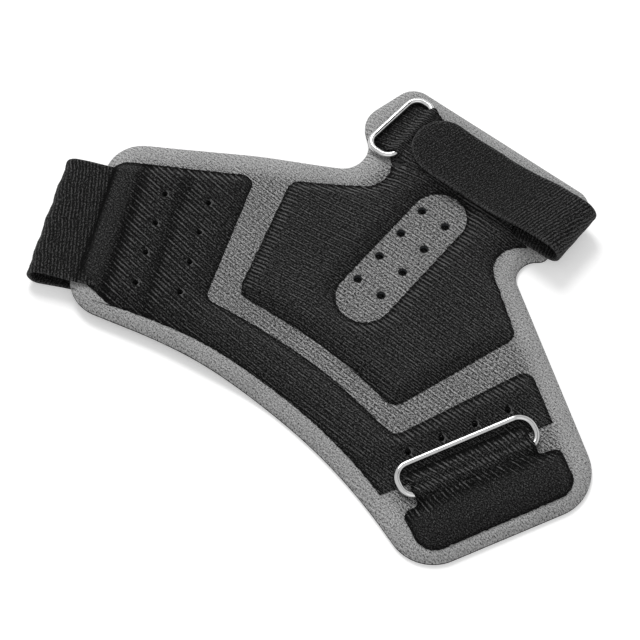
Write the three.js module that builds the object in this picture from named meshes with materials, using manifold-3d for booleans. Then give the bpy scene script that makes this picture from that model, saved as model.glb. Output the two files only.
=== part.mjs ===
// A soft wrist guard, opened out and lying with its inside face down. Millimetres, +Z up.
// +Y runs along the arm towards the fingers. Two wings wrap the wrist and a band wraps the hand.
// Each strap is folded away: the hand strap over the band, the wrist strap under the left wing.
import * as THREE from 'three';
import { mergeVertices } from 'three/addons/utils/BufferGeometryUtils.js';
import Module from 'manifold-3d';

const wasm = await Module();
wasm.setup();

// ---------------------------------------------------------------- driving dimensions
const gap = 0.3;                 // air kept between pieces that lie on each other

// The straps, in standard webbing widths.
const strapThickness = 1.4;
const wristStrapWidth = 50;
const handStrapWidth = 25;
const wristStrapCentre = 22.8;   // along the wing's end, from the foot of the wing's normal
const handCentre = 87.2;         // y of the hand strap's middle

// The body is a laminate, named from the skin outwards.
const liningThickness = 0.7;
const coreThickness = 2.0;
const faceThickness = 0.5;

// Its outline: wings first, then the hand band. Right-hand values are mirrored where they repeat.
const wingAngle = 25.9;          // degrees that each wing's end leans away from the arm
const wingReach = 96.4;          // from the arm's axis to a wing's end, square to that end
const wingTopSlope = 32.3;       // degrees of fall of the wing's upper edge
const wingTop = [52.5, handCentre - 37.2];    // a point on the upper edge
const wingTopRadius = 18;
const wingBottomRadius = 16;
const hemPeak = -24.3;           // where the two lower edges would cross on the arm's axis
const hemSlope = 19.35;
const hemRadius = 205;
const neckSlope = 41.2;
const neckPoint = [39, handCentre - 14.9];    // a point on the edge between the neck and the band
const neckRadius = 10;
const bandRight = 41.2;
const bandLeft = -49.5;
const bandTopLeft = handCentre + 17.2;
const bandTopRight = handCentre + 19.1;
const bandTopLean = 4.2;         // how far the band's left end leans in at the top
const bandRadius = 8;
const bandLowRadius = 4;

// Wire rings that the straps are threaded through.
const wristRingWire = 2.1;
const wristRingLength = wristStrapWidth + 2 * wristRingWire;
const wristRingDepth = 14;
const wristRingCorner = 5.5;
const wristRingBar = wingReach - 26.4;   // reach of the bar that the tab holds
const wristRingCentre = 23.2;
const handRingWire = 2.3;
const handRingLength = handStrapWidth + 2 * handRingWire + 1.3;
const handRingDepth = 13.8;
const handRingCorner = 4.85;
const handRingBar = bandLeft + 20.3;
const ringButt = 0.4;            // slit where the wire's ends meet, inside the tab

// Raised pads: a foam insert under a knitted skin, with a low rim round a higher crown.
const padSkin = 0.6;
const rimRise = 1.5;
const crownRise = 3.1;
const rimWidth = 3;

const handPadFoot = 36.6;        // half width at the bottom corners
const handPadFootY = -8.3;
const handPadShoulder = 51.9;    // half width at the shoulders
const handPadShoulderY = handCentre - 45.4;
const handPadHem = -2.2;
const handPadHemRadius = 170;
const handPadShoulderSlope = 36;
const handPadCorner = 5;
const handPadNeckRadius = 9.9;
const armHalfWidth = handStrapWidth / 2 - gap;
const armRight = 24;             // the strap's root starts here
const neckRight = 33;            // and the pad's edge runs on beside it to here

const windowHalfWidth = 10.6;    // the bare window in the hand pad
const windowLow = 10;
const windowHigh = handCentre - armHalfWidth;

const wristPadMargin = 7;        // bare edge above and below the wrist pad
const wristPadLeftEnd = wingReach - 3.9;
const wristPadRightEnd = wristRingBar - 5.8;
const wristPadRightCrown = wristPadRightEnd - 7.4;   // past it only a flange of bare cloth goes on
const flangeThickness = 0.7;
const channelFoot = [45, -12];   // the pad's edge beside the bare channel
const channelLean = 21.9;
const channelHem = -9.1;
const channelHemSlope = 11.5;
const channelHemRadius = 165;
const channelCorner = 4;
const wristPadHemRadius = 200;
const wristPadHeel = 70;         // the lower edge turns here
const wristPadHeelRadius = 15;
const wristPadHeelSlope = 2.5;
const wristPadLowRadius = 3;
const wristPadHighRadius = 5;

// The tab pad beyond the wrist ring, and the loops that hold both rings.
const tabInner = wristRingBar + 2.6;
const tabOuter = wingReach - 5.7;
const tabLow = -6.3;
const tabHigh = 55;
const tabCorner = 7.5;
const tabInnerCorner = 2.5;
const keeperThickness = 0.6;
const keeperClearance = 0.3;
const keeperFoot = 5;            // how far its sewn foot runs back from the bar
const tunnelHalfLength = 3.3;
const wristTunnelHalfWidth = wristStrapWidth / 2 - 2;
const tongueClearance = 0.7;
const tongueCorner = 3;
const bendNotch = 1.2;           // the hand pad is cut back this much more beside the ring's bends

// A thin plastic stay lies in a pocket of the core, behind the window.
const stayThickness = 1;
const stayMargin = 1.6;

// How each strap is sewn, folded and tipped with its hook patch.
const hookThickness = 1;
const hookInset = 1.5;
const wristStrapSewn = wristPadLeftEnd - 8;
const wristFoldReach = wingReach + 12;
const wristTailTip = 50;
const wristTailRadius = 14;
const wristHookLength = 20;
const handFoldX = bandRight - 1.4;
const handFoldRadius = 4.7;
const handFlapTip = handRingBar + 0.7;
const handFlapSlope = [[30, 0.73], [20, 0.3], [8, 0]];   // x, and the share of the fold's rise
const handHookLength = 22;
const handHookStart = 3.8;       // from the flap's tip
const stitchWidth = 1.2;
const stitchHeight = 0.5;
const stitchInset = 3.5;         // from the strap's sewn end
const stitchMargin = 4;          // from the strap's sides

// Vent holes, punched right through.
const windowVentRadius = 1.5;
const windowVentSpacing = [10.8, 12.6];
const windowVentCentre = [-1.1, 43.6];
const padVentRadius = 1;
const padVentPitch = 12.9;
const padVentRows = [
  { side: -1, reach: 54.9, centre: 20.6 },
  { side: -1, reach: 71.5, centre: 20.6 },
  { side: 1, reach: 54.9, centre: 25 },
];
const ventsPerRow = 4;

// Where the body climbs over the tucked strap, as reach towards the left wing's end.
const climbStart = 8;
const climbEnd = wristTailTip - 2;
const climbSteps = 5;

// ---------------------------------------------------------------- heights
const liningTop = liningThickness;
const coreLow = liningTop + gap;
const coreTop = coreLow + coreThickness;
const faceLow = coreTop + gap;
const faceTop = faceLow + faceThickness;
const seat = faceTop + gap;                       // everything sewn to the face starts here
const climb = hookThickness + strapThickness + 2 * gap;
const seatOnWing = seat + climb;

// ---------------------------------------------------------------- plan geometry
const radians = THREE.MathUtils.degToRad;
const wingCos = Math.cos(radians(wingAngle));
const wingSin = Math.sin(radians(wingAngle));

// A point given by its reach from the arm's axis and its place along the wing's end.
function wingPoint(side, reach, along) {
  const x = reach * wingCos + along * wingSin;
  return [side * x, along * wingCos - reach * wingSin];
}

// A straight line, as a point and a direction in degrees.
const line = ([x, y], angle) => ({ x, y, dx: Math.cos(radians(angle)), dy: Math.sin(radians(angle)) });

// The line moved to its left by a distance.
function shifted(l, distance) {
  return { ...l, x: l.x - l.dy * distance, y: l.y + l.dx * distance };
}

function meet(a, b) {
  const cross = a.dx * b.dy - a.dy * b.dx;
  const t = ((b.x - a.x) * b.dy - (b.y - a.y) * b.dx) / cross;
  return [a.x + a.dx * t, a.y + a.dy * t];
}

const mirrored = (corners) => corners.map(([x, y, r]) => [-x, y, r]).reverse();

// Points of a polygon whose corners [x, y, radius] are rounded by arcs.
function roundedPoints(corners) {
  const points = [];
  corners.forEach(([x, y, radius], i) => {
    const corner = new THREE.Vector2(x, y);
    const before = new THREE.Vector2(...corners.at(i - 1)).sub(corner).normalize();
    const after = new THREE.Vector2(...corners[(i + 1) % corners.length]).sub(corner).normalize();
    const half = Math.acos(THREE.MathUtils.clamp(before.dot(after), -1, 1)) / 2;
    const towardsCentre = before.clone().add(after).normalize();
    const centre = corner.clone().addScaledVector(towardsCentre, radius / Math.sin(half));
    const first = corner.clone().addScaledVector(before, radius / Math.tan(half)).sub(centre);
    const turn = Math.PI - 2 * half;
    const sense = Math.sign(after.clone().cross(before));
    const steps = Math.max(2, Math.ceil(turn / radians(18)) + (radius > 50 ? 10 : 0));
    for (let k = 0; k <= steps; k += 1) {
      const spoke = first.clone().rotateAround(new THREE.Vector2(), (sense * turn * k) / steps);
      points.push(spoke.add(centre));
    }
  });
  return points;
}

// The same polygon with each edge moved inwards. A list gives each edge its own distance.
function inset(corners, distance) {
  const count = corners.length;
  const area = THREE.ShapeUtils.area(corners.map(([x, y]) => new THREE.Vector2(x, y)));
  const edges = corners.map(([x, y], i) => {
    const [nx, ny] = corners[(i + 1) % count];
    const angle = THREE.MathUtils.radToDeg(Math.atan2(ny - y, nx - x));
    const by = Array.isArray(distance) ? distance[i] : distance;
    return { by, line: shifted(line([x, y], angle), Math.sign(area) * by) };
  });
  return corners.map(([, , radius], i) => {
    const a = edges.at(i - 1);
    const b = edges[i];
    const bulge = Math.sign(a.line.dx * b.line.dy - a.line.dy * b.line.dx) * Math.sign(area);
    const by = Math.max(a.by, b.by);
    return [...meet(a.line, b.line), Math.max(0.4, radius - bulge * by)];
  });
}

// ---------------------------------------------------------------- solids
function solid(geometry) {
  geometry.deleteAttribute('normal');
  geometry.deleteAttribute('uv');
  const merged = mergeVertices(geometry, 1e-4);
  return new wasm.Manifold(new wasm.Mesh({
    numProp: 3,
    vertProperties: new Float32Array(merged.attributes.position.array),
    triVerts: new Uint32Array(merged.index.array),
  }));
}

const without = (body, cutters) => cutters.reduce((left, cutter) => left.subtract(cutter), body);

const far = 240;                 // half-spaces and sheets reach this far, past every edge
const tall = 30;                 // and prisms this far, past every layer

// An upright prism over an outline.
function prism(corners, low = -tall, high = tall) {
  const shape = new THREE.Shape(roundedPoints(corners));
  const geometry = new THREE.ExtrudeGeometry(shape, { depth: high - low, bevelEnabled: false });
  return solid(geometry.translate(0, 0, low));
}

// The frame of a sweep: u points along a heading in the plan, z is up.
function frameAt([x, y], heading) {
  const along = new THREE.Vector3(Math.cos(radians(heading)), Math.sin(radians(heading)), 0);
  const up = new THREE.Vector3(0, 0, 1);
  const basis = new THREE.Matrix4().makeBasis(along, up, along.clone().cross(up));
  return basis.setPosition(x, y, 0);
}

const placed = (body, [x, y], heading) => body.rotate([0, 0, heading]).translate([x, y, 0]);

// A profile in (u, z), swept to both sides of its origin.
function swept(profile, origin, heading, halfLength) {
  const shape = new THREE.Shape(profile.map(([u, z]) => new THREE.Vector2(u, z)));
  const geometry = new THREE.ExtrudeGeometry(shape, { depth: 2 * halfLength, bevelEnabled: false });
  return solid(geometry.translate(0, 0, -halfLength).applyMatrix4(frameAt(origin, heading)));
}

const rectangle = (from, to, low, high) => [[from, low], [to, low], [to, high], [from, high]];

// Headings in the plan: out of each wing's end, and from each ring's held bar to its free bar.
const leftOut = 180 + wingAngle;
const rightOut = -wingAngle;
const wristRingHeading = 180 - wingAngle;
const handRingHeading = 180;

// Everything past a reach along a heading.
const past = (heading, reach) => swept(rectangle(reach, far, -tall, tall), [0, 0], heading, far);

// How far the tucked strap raises the body, at a reach towards the left wing's end.
const climbAt = (reach) => climb * THREE.MathUtils.smoothstep(reach, climbStart, climbEnd);

// A layer between two heights that climbs over the tucked strap.
function sheet(low, high) {
  const reaches = [-far];
  for (let k = 0; k <= climbSteps; k += 1) {
    reaches.push(climbStart + ((climbEnd - climbStart) * k) / climbSteps);
  }
  reaches.push(far);
  const below = reaches.map((reach) => [reach, climbAt(reach) + low]);
  const above = reaches.map((reach) => [reach, climbAt(reach) + high]).reverse();
  return swept([...below, ...above], [0, 0], leftOut, far);
}

// Cloth of even thickness along a path in (u, z).
function clothProfile(path, thickness) {
  const sides = [[], []];
  path.forEach((point, i) => {
    const a = new THREE.Vector2(...path[Math.max(0, i - 1)]);
    const b = new THREE.Vector2(...path[Math.min(path.length - 1, i + 1)]);
    const direction = b.sub(a).normalize();
    [-thickness / 2, thickness / 2].forEach((reach, side) => {
      sides[side].push([point[0] - direction.y * reach, point[1] + direction.x * reach]);
    });
  });
  return [...sides[0], ...sides[1].reverse()];
}

function arc(centre, radius, from, to, steps) {
  return Array.from({ length: steps + 1 }, (_, k) => {
    const angle = radians(from + ((to - from) * k) / steps);
    return [centre[0] + radius * Math.cos(angle), centre[1] + radius * Math.sin(angle)];
  });
}

const group = new THREE.Group();
group.name = 'wrist_guard';

const finishes = {
  greyKnit: { color: 0x8f9092, roughness: 0.95, metalness: 0 },
  blackKnit: { color: 0x222325, roughness: 0.95, metalness: 0 },
  blackElastic: { color: 0x2a2b2c, roughness: 0.9, metalness: 0 },
  hookTape: { color: 0x1a1a1b, roughness: 0.7, metalness: 0 },
  thread: { color: 0x18181a, roughness: 0.8, metalness: 0 },
  foam: { color: 0x3a3b3d, roughness: 0.85, metalness: 0 },
  plastic: { color: 0x55585c, roughness: 0.5, metalness: 0 },
  steel: { color: 0xd8dadd, roughness: 0.12, metalness: 1 },
};

function add(name, body, finish) {
  const { vertProperties, triVerts } = body.getMesh();
  const geometry = new THREE.BufferGeometry();
  geometry.setAttribute('position', new THREE.BufferAttribute(vertProperties, 3));
  geometry.setIndex(new THREE.BufferAttribute(triVerts, 1));
  geometry.computeVertexNormals();
  const mesh = new THREE.Mesh(geometry, new THREE.MeshStandardMaterial(finishes[finish]));
  mesh.name = name;
  group.add(mesh);
}

// ---------------------------------------------------------------- vent holes
function ventSolid([x, y], radius) {
  const geometry = new THREE.CylinderGeometry(radius, radius, 2 * tall, 10);
  return solid(geometry.rotateX(Math.PI / 2).translate(x, y, 0));
}

const middleRow = (ventsPerRow - 1) / 2;
const windowVents = [];
const padVents = [];
for (let k = 0; k < ventsPerRow; k += 1) {
  for (const column of [-0.5, 0.5]) {
    const x = windowVentCentre[0] + column * windowVentSpacing[0];
    const y = windowVentCentre[1] + (k - middleRow) * windowVentSpacing[1];
    windowVents.push(ventSolid([x, y], windowVentRadius));
  }
  for (const { side, reach, centre } of padVentRows) {
    const along = centre + (k - middleRow) * padVentPitch;
    padVents.push(ventSolid(wingPoint(side, reach, along), padVentRadius));
  }
}
const allVents = [...windowVents, ...padVents];

// ---------------------------------------------------------------- body laminate
const wingTopEdge = line(wingTop, -wingTopSlope);
const wingEndEdge = (reach) => line(wingPoint(1, reach, 0), 90 - wingAngle);
const hemEdge = line([0, hemPeak], -hemSlope);
const neckEdge = line(neckPoint, neckSlope);
const bandLeftEdge = line([-bandLeft, 0], 90);
const rightWing = [
  [...meet(hemEdge, wingEndEdge(wingReach)), wingBottomRadius],
  [...meet(wingTopEdge, wingEndEdge(wingReach)), wingTopRadius],
  [...meet(wingTopEdge, neckEdge), neckRadius],
];
const bodyOutline = [
  [0, hemPeak, hemRadius],
  ...rightWing,
  [...meet(neckEdge, line([bandRight, 0], 90)), bandLowRadius],
  [bandRight, bandTopRight, bandRadius],
  [bandLeft + bandTopLean, bandTopLeft, bandRadius],
  ...mirrored([[...meet(neckEdge, bandLeftEdge), bandLowRadius]]),
  ...mirrored(rightWing),
];
const bodyPrism = prism(bodyOutline);
const windowOutline = [
  [-windowHalfWidth, windowLow],
  [windowHalfWidth, windowLow],
  [windowHalfWidth, windowHigh],
  [-windowHalfWidth, windowHigh],
].map(([x, y]) => [x, y, windowHalfWidth - 0.1]);

const stayLow = coreTop - stayThickness;
const stayPocket = prism(inset(windowOutline, stayMargin - gap), stayLow - gap);
const stay = prism(inset(windowOutline, stayMargin), stayLow, coreTop);
add('inner_lining', without(sheet(0, liningThickness).intersect(bodyPrism), allVents), 'blackKnit');
add('foam_core', without(sheet(coreLow, coreTop).intersect(bodyPrism), [...allVents, stayPocket]), 'foam');
add('wrist_stay', without(stay, windowVents), 'plastic');
add('outer_cover', without(sheet(faceLow, faceTop).intersect(bodyPrism), allVents), 'greyKnit');

// ---------------------------------------------------------------- raised pads
// A pad has a low rim and a higher crown. Its skin is open below, and foam fills it.
const aboveSeat = sheet(seat, tall);
const foamInset = padSkin + gap;

// The block that a pad fills, moved in by `shrink` on its sides and its top.
function padBlock({ rim, crown, end = [] }, shrink) {
  const rimBlock = prism(inset(rim, shrink)).intersect(sheet(0, seat + rimRise - shrink));
  const crownBlock = prism(inset(crown, shrink)).intersect(sheet(0, seat + crownRise - shrink));
  return without(rimBlock.add(crownBlock), end.map((cut) => cut(shrink)));
}

const padSkinSolid = (pad) => padBlock(pad, 0).subtract(padBlock(pad, padSkin)).intersect(aboveSeat);
const padFoamSolid = (pad) => padBlock(pad, foamInset).intersect(aboveSeat);

// ---------------------------------------------------------------- rings and what holds them
// A ring's held bar lies on the face, in a tunnel of cloth. Local u points to its free bar.
const handRingPlace = { origin: [handRingBar, handCentre], heading: handRingHeading, wire: handRingWire };
const wristRingPlace = {
  origin: wingPoint(1, wristRingBar, wristRingCentre),
  heading: wristRingHeading,
  wire: wristRingWire,
};
const barHeight = (wire) => seat + wire / 2;

function tunnel({ origin, heading, wire }, halfWidth, keeperHalf, tongueEnd) {
  const ceiling = seat + wire + keeperClearance + keeperThickness + gap;
  const wall = tunnelHalfLength + padSkin;
  const block = (from, to, low, high, half) => swept(rectangle(from, to, low, high), origin, heading, half);
  const roof = block(-wall, wall, seat, ceiling + padSkin, halfWidth);
  const tongueOutline = [
    [0, -halfWidth, 1],
    [tongueEnd, -halfWidth, tongueCorner],
    [tongueEnd, halfWidth, tongueCorner],
    [0, halfWidth, 1],
  ];
  const tongue = placed(prism(tongueOutline, seat, seat + flangeThickness), origin, heading);
  const bore = block(-tunnelHalfLength, tunnelHalfLength, 0, ceiling, halfWidth + 1);
  const footSlot = block(-wall - gap, 0, 0, seat + keeperThickness + gap, keeperHalf + gap);
  return { cloth: roof.add(tongue), bore: bore.add(footSlot) };
}

// A webbing strip laid over the held bar and sewn down on both sides.
function keeper({ origin, heading, wire }, halfWidth, footLength) {
  const middle = wire / 2 + keeperClearance + keeperThickness / 2;
  const foot = seat + keeperThickness / 2;
  const path = [
    [-footLength, foot],
    [-middle, foot],
    ...arc([0, barHeight(wire)], middle, 180, 0, 10),
    [middle, foot],
    [tunnelHalfLength - gap, foot],
  ];
  return swept(clothProfile(path, keeperThickness), origin, heading, halfWidth);
}

// A quarter turn in (u, v), clockwise from an angle.
function quarterTurn(centre, radius, start) {
  const curve = new THREE.Curve();
  curve.getPoint = (t, target = new THREE.Vector3()) => {
    const angle = start - (t * Math.PI) / 2;
    return target.set(Math.cos(angle), Math.sin(angle), 0).multiplyScalar(radius).add(centre);
  };
  return curve;
}

// One length of round wire bent to a rectangle. Its ends meet in the middle of the held bar.
function ring({ origin, heading, wire }, length, depth, cornerRadius, tilt) {
  const half = (length - wire) / 2;
  const reach = depth - wire;
  const turns = [[0, half], [reach, half], [reach, -half], [0, -half], [0, -ringButt / 2]];
  const path = new THREE.CurvePath();
  let from = new THREE.Vector3(0, ringButt / 2, 0);
  for (let i = 0; i < 4; i += 1) {
    const corner = new THREE.Vector3(...turns[i], 0);
    const into = corner.clone().sub(from).setLength(cornerRadius);
    const out = new THREE.Vector3(...turns[i + 1], 0).sub(corner).setLength(cornerRadius);
    const centre = corner.clone().sub(into).add(out);
    path.add(new THREE.LineCurve3(from, corner.clone().sub(into)));
    path.add(quarterTurn(centre, cornerRadius, Math.atan2(-out.y, -out.x)));
    from = corner.clone().add(out);
  }
  path.add(new THREE.LineCurve3(from, new THREE.Vector3(...turns[4], 0)));
  const section = new THREE.Shape(new THREE.EllipseCurve(0, 0, wire / 2, wire / 2).getPoints(10).slice(1));
  const geometry = new THREE.ExtrudeGeometry(section, { steps: 76, extrudePath: path });
  geometry.rotateY(-radians(tilt)).rotateZ(radians(heading));
  return solid(geometry.translate(...origin, barHeight(wire)));
}

// The wrist ring leans on the edge of the flange, so its free bar stands higher.
const leanReach = wristRingBar - wristPadRightEnd;
const leanRise = flangeThickness + gap;
const wristRingTilt = THREE.MathUtils.radToDeg(Math.atan2(leanRise, leanReach));
const wristRing = ring(wristRingPlace, wristRingLength, wristRingDepth, wristRingCorner, wristRingTilt);
const handRing = ring(handRingPlace, handRingLength, handRingDepth, handRingCorner, 0);
add('wrist_ring', wristRing, 'steel');
add('hand_ring', handRing, 'steel');

const straightHalf = (length, wire, cornerRadius) => (length - wire) / 2 - cornerRadius;
const wristKeeperHalf = straightHalf(wristRingLength, wristRingWire, wristRingCorner) - 1;
const handKeeperHalf = straightHalf(handRingLength, handRingWire, handRingCorner);
add('wrist_ring_keeper', keeper(wristRingPlace, wristKeeperHalf, keeperFoot), 'blackElastic');
add('hand_ring_keeper', keeper(handRingPlace, handKeeperHalf, keeperFoot), 'blackElastic');

// ---------------------------------------------------------------- hand pad
const armLow = handCentre - armHalfWidth;
const armHigh = handCentre + armHalfWidth;
const shoulderEdge = line([handPadShoulder, handPadShoulderY], 180 - handPadShoulderSlope);
const handPadSide = [
  [handPadFoot, handPadFootY, handPadCorner],
  [handPadShoulder, handPadShoulderY, handPadCorner],
  [...meet(shoulderEdge, line([0, armLow], 0)), handPadNeckRadius],
];

const handPadTop = [[far / 2, armLow, 1], [far / 2, armHigh, 1]];
const handPadRim = [
  [0, handPadHem, handPadHemRadius],
  ...handPadSide,
  ...handPadTop,
  ...mirrored(handPadTop),
  ...mirrored(handPadSide),
];

// A shield with two arms along the band. It ends at the ring, and at the root of the hand strap.
const quadrant = (heading, x, y) => (shrink) => past(heading, x - shrink).intersect(past(90, y - shrink));
const handPad = (left) => ({
  rim: handPadRim,
  crown: inset(handPadRim, rimWidth),
  end: [
    quadrant(180, -left, armLow - handPadNeckRadius),
    quadrant(0, armRight, handCentre - handStrapWidth / 2 - gap),
    quadrant(0, neckRight, armLow - handPadNeckRadius),
  ],
});

const armLeft = handRingBar - tunnelHalfLength - padSkin;
const handSkin = handPad(armLeft);
const windowSurround = prism(inset(windowOutline, -padSkin));
const windowWall = windowSurround.intersect(padBlock(handSkin, 0)).intersect(aboveSeat);
const handTongueEnd = handRingDepth - 1.5 * handRingWire - tongueClearance;
const handTunnel = tunnel(handRingPlace, armHalfWidth, handKeeperHalf, handTongueEnd);
const bendRoom = (half) => swept(
  rectangle(-tunnelHalfLength - bendNotch, far, 0, tall),
  handRingPlace.origin,
  handRingHeading,
  half,
);
const handPadCover = padSkinSolid(handSkin)
  .subtract(bendRoom(handRingLength / 2 + 2 * gap).subtract(bendRoom(armHalfWidth)))
  .add(windowWall)
  .subtract(prism(windowOutline))
  .add(handTunnel.cloth)
  .subtract(handTunnel.bore);
const handFoam = handPad(handRingBar + keeperFoot + gap - foamInset);
const windowFoamCut = prism(inset(windowOutline, -foamInset));
add('hand_pad_cover', handPadCover, 'blackKnit');
add('hand_pad_foam', padFoamSolid(handFoam).subtract(windowFoamCut), 'foam');

// ---------------------------------------------------------------- wrist pad
// A band along the hem with an upright on each wing. Bare channels part it from the hand pad.
const padHemEdge = shifted(hemEdge, wristPadMargin);
const padTopEdge = shifted(wingTopEdge, -wristPadMargin);
const padEndEdge = wingEndEdge(wristPadLeftEnd);
const channelEdge = line(channelFoot, 90 - channelLean);
const heel = meet(padHemEdge, line([wristPadHeel, 0], 90));
const wristPadSide = [
  [...heel, wristPadHeelRadius],
  [...meet(line(heel, -wristPadHeelSlope), padEndEdge), wristPadLowRadius],
  [...meet(padTopEdge, padEndEdge), wristPadHighRadius],
  [...meet(padTopEdge, channelEdge), channelCorner],
  [...meet(channelEdge, line([0, channelHem], -channelHemSlope)), channelCorner],
];
const wristRim = [
  [0, meet(padHemEdge, line([0, 0], 90))[1], wristPadHemRadius],
  ...wristPadSide,
  [0, channelHem, channelHemRadius],
  ...mirrored(wristPadSide),
];
const leftEndEdge = 9;           // the crown is full height here, over the strap's sewn end
const crownInsets = wristRim.map((_, i) => (i === leftEndEdge ? 0 : rimWidth));
const wristSkin = {
  rim: wristRim,
  crown: inset(wristRim, crownInsets),
  end: [(shrink) => past(rightOut, wristPadRightCrown - shrink)],
};
const flange = prism(wristRim)
  .intersect(sheet(seat, seat + flangeThickness))
  .intersect(past(rightOut, wristPadRightCrown - padSkin))
  .subtract(past(rightOut, wristPadRightEnd));
const strapOrigin = wingPoint(-1, 0, wristStrapCentre);
const strapSlot = swept(
  rectangle(wristStrapSewn - 1, wristPadLeftEnd + 1, seatOnWing - 1, seatOnWing + strapThickness + gap),
  strapOrigin,
  leftOut,
  wristStrapWidth / 2 + gap,
);
const wristPadCover = padSkinSolid(wristSkin).add(flange).subtract(strapSlot);
add('wrist_pad_cover', without(wristPadCover, padVents), 'blackKnit');
const wristPadFoam = padFoamSolid(wristSkin).subtract(past(leftOut, wristStrapSewn - gap));
add('wrist_pad_foam', without(wristPadFoam, padVents), 'foam');

// ---------------------------------------------------------------- tab pad
function tabPad(inner) {
  const rim = [
    [inner, tabLow, tabInnerCorner],
    [tabOuter, tabLow, tabCorner],
    [tabOuter, tabHigh, tabCorner],
    [inner, tabHigh, tabInnerCorner],
  ].map(([reach, along, radius]) => [...wingPoint(1, reach, along), radius]);
  return { rim, crown: inset(rim, rimWidth) };
}

const wristTunnel = tunnel(wristRingPlace, wristTunnelHalfWidth, wristKeeperHalf, leanReach - gap);
const tabCover = padSkinSolid(tabPad(tabInner)).add(wristTunnel.cloth).subtract(wristTunnel.bore);
const tabFoamStart = wristRingBar + keeperFoot + gap - foamInset;
add('ring_tab_cover', tabCover, 'blackKnit');
add('ring_tab_foam', padFoamSolid(tabPad(tabFoamStart)), 'foam');

// ---------------------------------------------------------------- straps
// A strap is three pieces: the sewn root, the fold, and the free length beyond it.
function strapPart(path, origin, heading, width) {
  return swept(clothProfile(path, strapThickness), origin, heading, width / 2);
}

const half = strapThickness / 2;
const wristRootHeight = seatOnWing + half;
const wristFoldRadius = (wristRootHeight - half) / 2;
const wristFoldCentre = [wristFoldReach, half + wristFoldRadius];
const wristFoldStart = wristFoldReach - gap;
const wristHookEnd = wristTailTip + hookInset + wristHookLength;
const wristTailRaised = hookThickness + gap + half;
const wristRootPath = [[wristStrapSewn, wristRootHeight], [wristFoldStart, wristRootHeight]];
const wristTailPath = [
  [wristFoldStart, half],
  [wristHookEnd + 5, half],
  [wristHookEnd + 1, wristTailRaised],
  [wristTailTip, wristTailRaised],
];
const halfWidth = wristStrapWidth / 2;
const wristTailOutline = (tip, narrow, radius) => [
  [tip, wristStrapCentre - halfWidth + narrow, radius],
  [wristFoldReach + 10, wristStrapCentre - halfWidth + narrow, 1],
  [wristFoldReach + 10, wristStrapCentre + halfWidth - narrow, 1],
  [tip, wristStrapCentre + halfWidth - narrow, radius],
].map(([reach, along, r]) => [...wingPoint(-1, reach, along), r]);
const wristTip = prism(wristTailOutline(wristTailTip, 0, wristTailRadius));
const wristHookShape = wristTailOutline(wristTailTip + hookInset, hookInset, wristTailRadius - hookInset);
const wristHook = prism(wristHookShape, 0, hookThickness).subtract(past(leftOut, wristHookEnd));
const wristPart = (path) => strapPart(path, strapOrigin, leftOut, wristStrapWidth);
add('wrist_strap_root', wristPart(wristRootPath), 'blackElastic');
add('wrist_strap_fold', wristPart(arc(wristFoldCentre, wristFoldRadius, 90, -90, 14)), 'blackElastic');
add('wrist_strap_tail', wristPart(wristTailPath).intersect(wristTip), 'blackElastic');
add('wrist_strap_hook', wristHook, 'hookTape');

const handOrigin = [0, handCentre];
const handRootHeight = seat + half;
const handFoldHeight = handRootHeight + handFoldRadius;
const handFoldTop = handFoldHeight + handFoldRadius;
const handFoldStart = handFoldX - gap;
const hookSeat = seat + crownRise + gap;
const handFlapHeight = hookSeat + hookThickness + gap + half;
const handFlapPath = [
  [handFoldStart, handFoldTop],
  [handFoldX - 4, handFoldTop - 0.15],
  ...handFlapSlope.map(([x, share]) => [x, THREE.MathUtils.lerp(handFlapHeight, handFoldTop, share)]),
  [handFlapTip, handFlapHeight],
];
const handTipOutline = (tip, narrow) => [
  [tip, handCentre - handStrapWidth / 2 + narrow, handStrapWidth / 2 - narrow - 0.1],
  [handFoldX + 10, handCentre - handStrapWidth / 2 + narrow, 1],
  [handFoldX + 10, handCentre + handStrapWidth / 2 - narrow, 1],
  [tip, handCentre + handStrapWidth / 2 - narrow, handStrapWidth / 2 - narrow - 0.1],
];
const handPart = (path) => strapPart(path, handOrigin, 0, handStrapWidth);
const handHookTip = handFlapTip + handHookStart;
const handHookCut = past(0, handHookTip + handHookLength);
const handHook = prism(handTipOutline(handHookTip, hookInset), hookSeat, hookSeat + hookThickness);
const handRootPath = [[armRight + gap, handRootHeight], [handFoldStart, handRootHeight]];
const handFoldArc = arc([handFoldX, handFoldHeight], handFoldRadius, -90, 90, 16);
add('hand_strap_root', handPart(handRootPath), 'blackElastic');
add('hand_strap_fold', handPart(handFoldArc), 'blackElastic');
const handTip = prism(handTipOutline(handFlapTip, 0));
add('hand_strap_flap', handPart(handFlapPath).intersect(handTip), 'blackElastic');
add('hand_strap_hook', handHook.subtract(handHookCut), 'hookTape');

// A row of stitches holds each strap's sewn end.
function stitching(reach, base, origin, heading, width) {
  const low = base + strapThickness + gap;
  const profile = rectangle(reach - stitchWidth / 2, reach + stitchWidth / 2, low, low + stitchHeight);
  return swept(profile, origin, heading, width / 2 - stitchMargin);
}

const wristReach = wristStrapSewn + stitchInset;
const handReach = armRight + gap + stitchInset;
const underPad = prism(inset(wristSkin.crown, foamInset));
const wristStitches = stitching(wristReach, seatOnWing, strapOrigin, leftOut, wristStrapWidth)
  .intersect(underPad);
const handStitches = stitching(handReach, seat, handOrigin, 0, handStrapWidth);
add('wrist_strap_stitching', wristStitches, 'thread');
add('hand_strap_stitching', handStitches, 'thread');

// The origin is the middle of the footprint, at the height of the table.
const bounds = new THREE.Box3().setFromObject(group);
const middle = bounds.getCenter(new THREE.Vector3());
group.position.set(-middle.x, -middle.y, -bounds.min.z);

export default group;
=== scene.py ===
import math

import bpy
import numpy as np
from bpy.props import FloatProperty, FloatVectorProperty, PointerProperty
from bpy.types import Operator, Panel, PropertyGroup
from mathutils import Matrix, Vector
from mathutils.geometry import delaunay_2d_cdt


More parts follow.
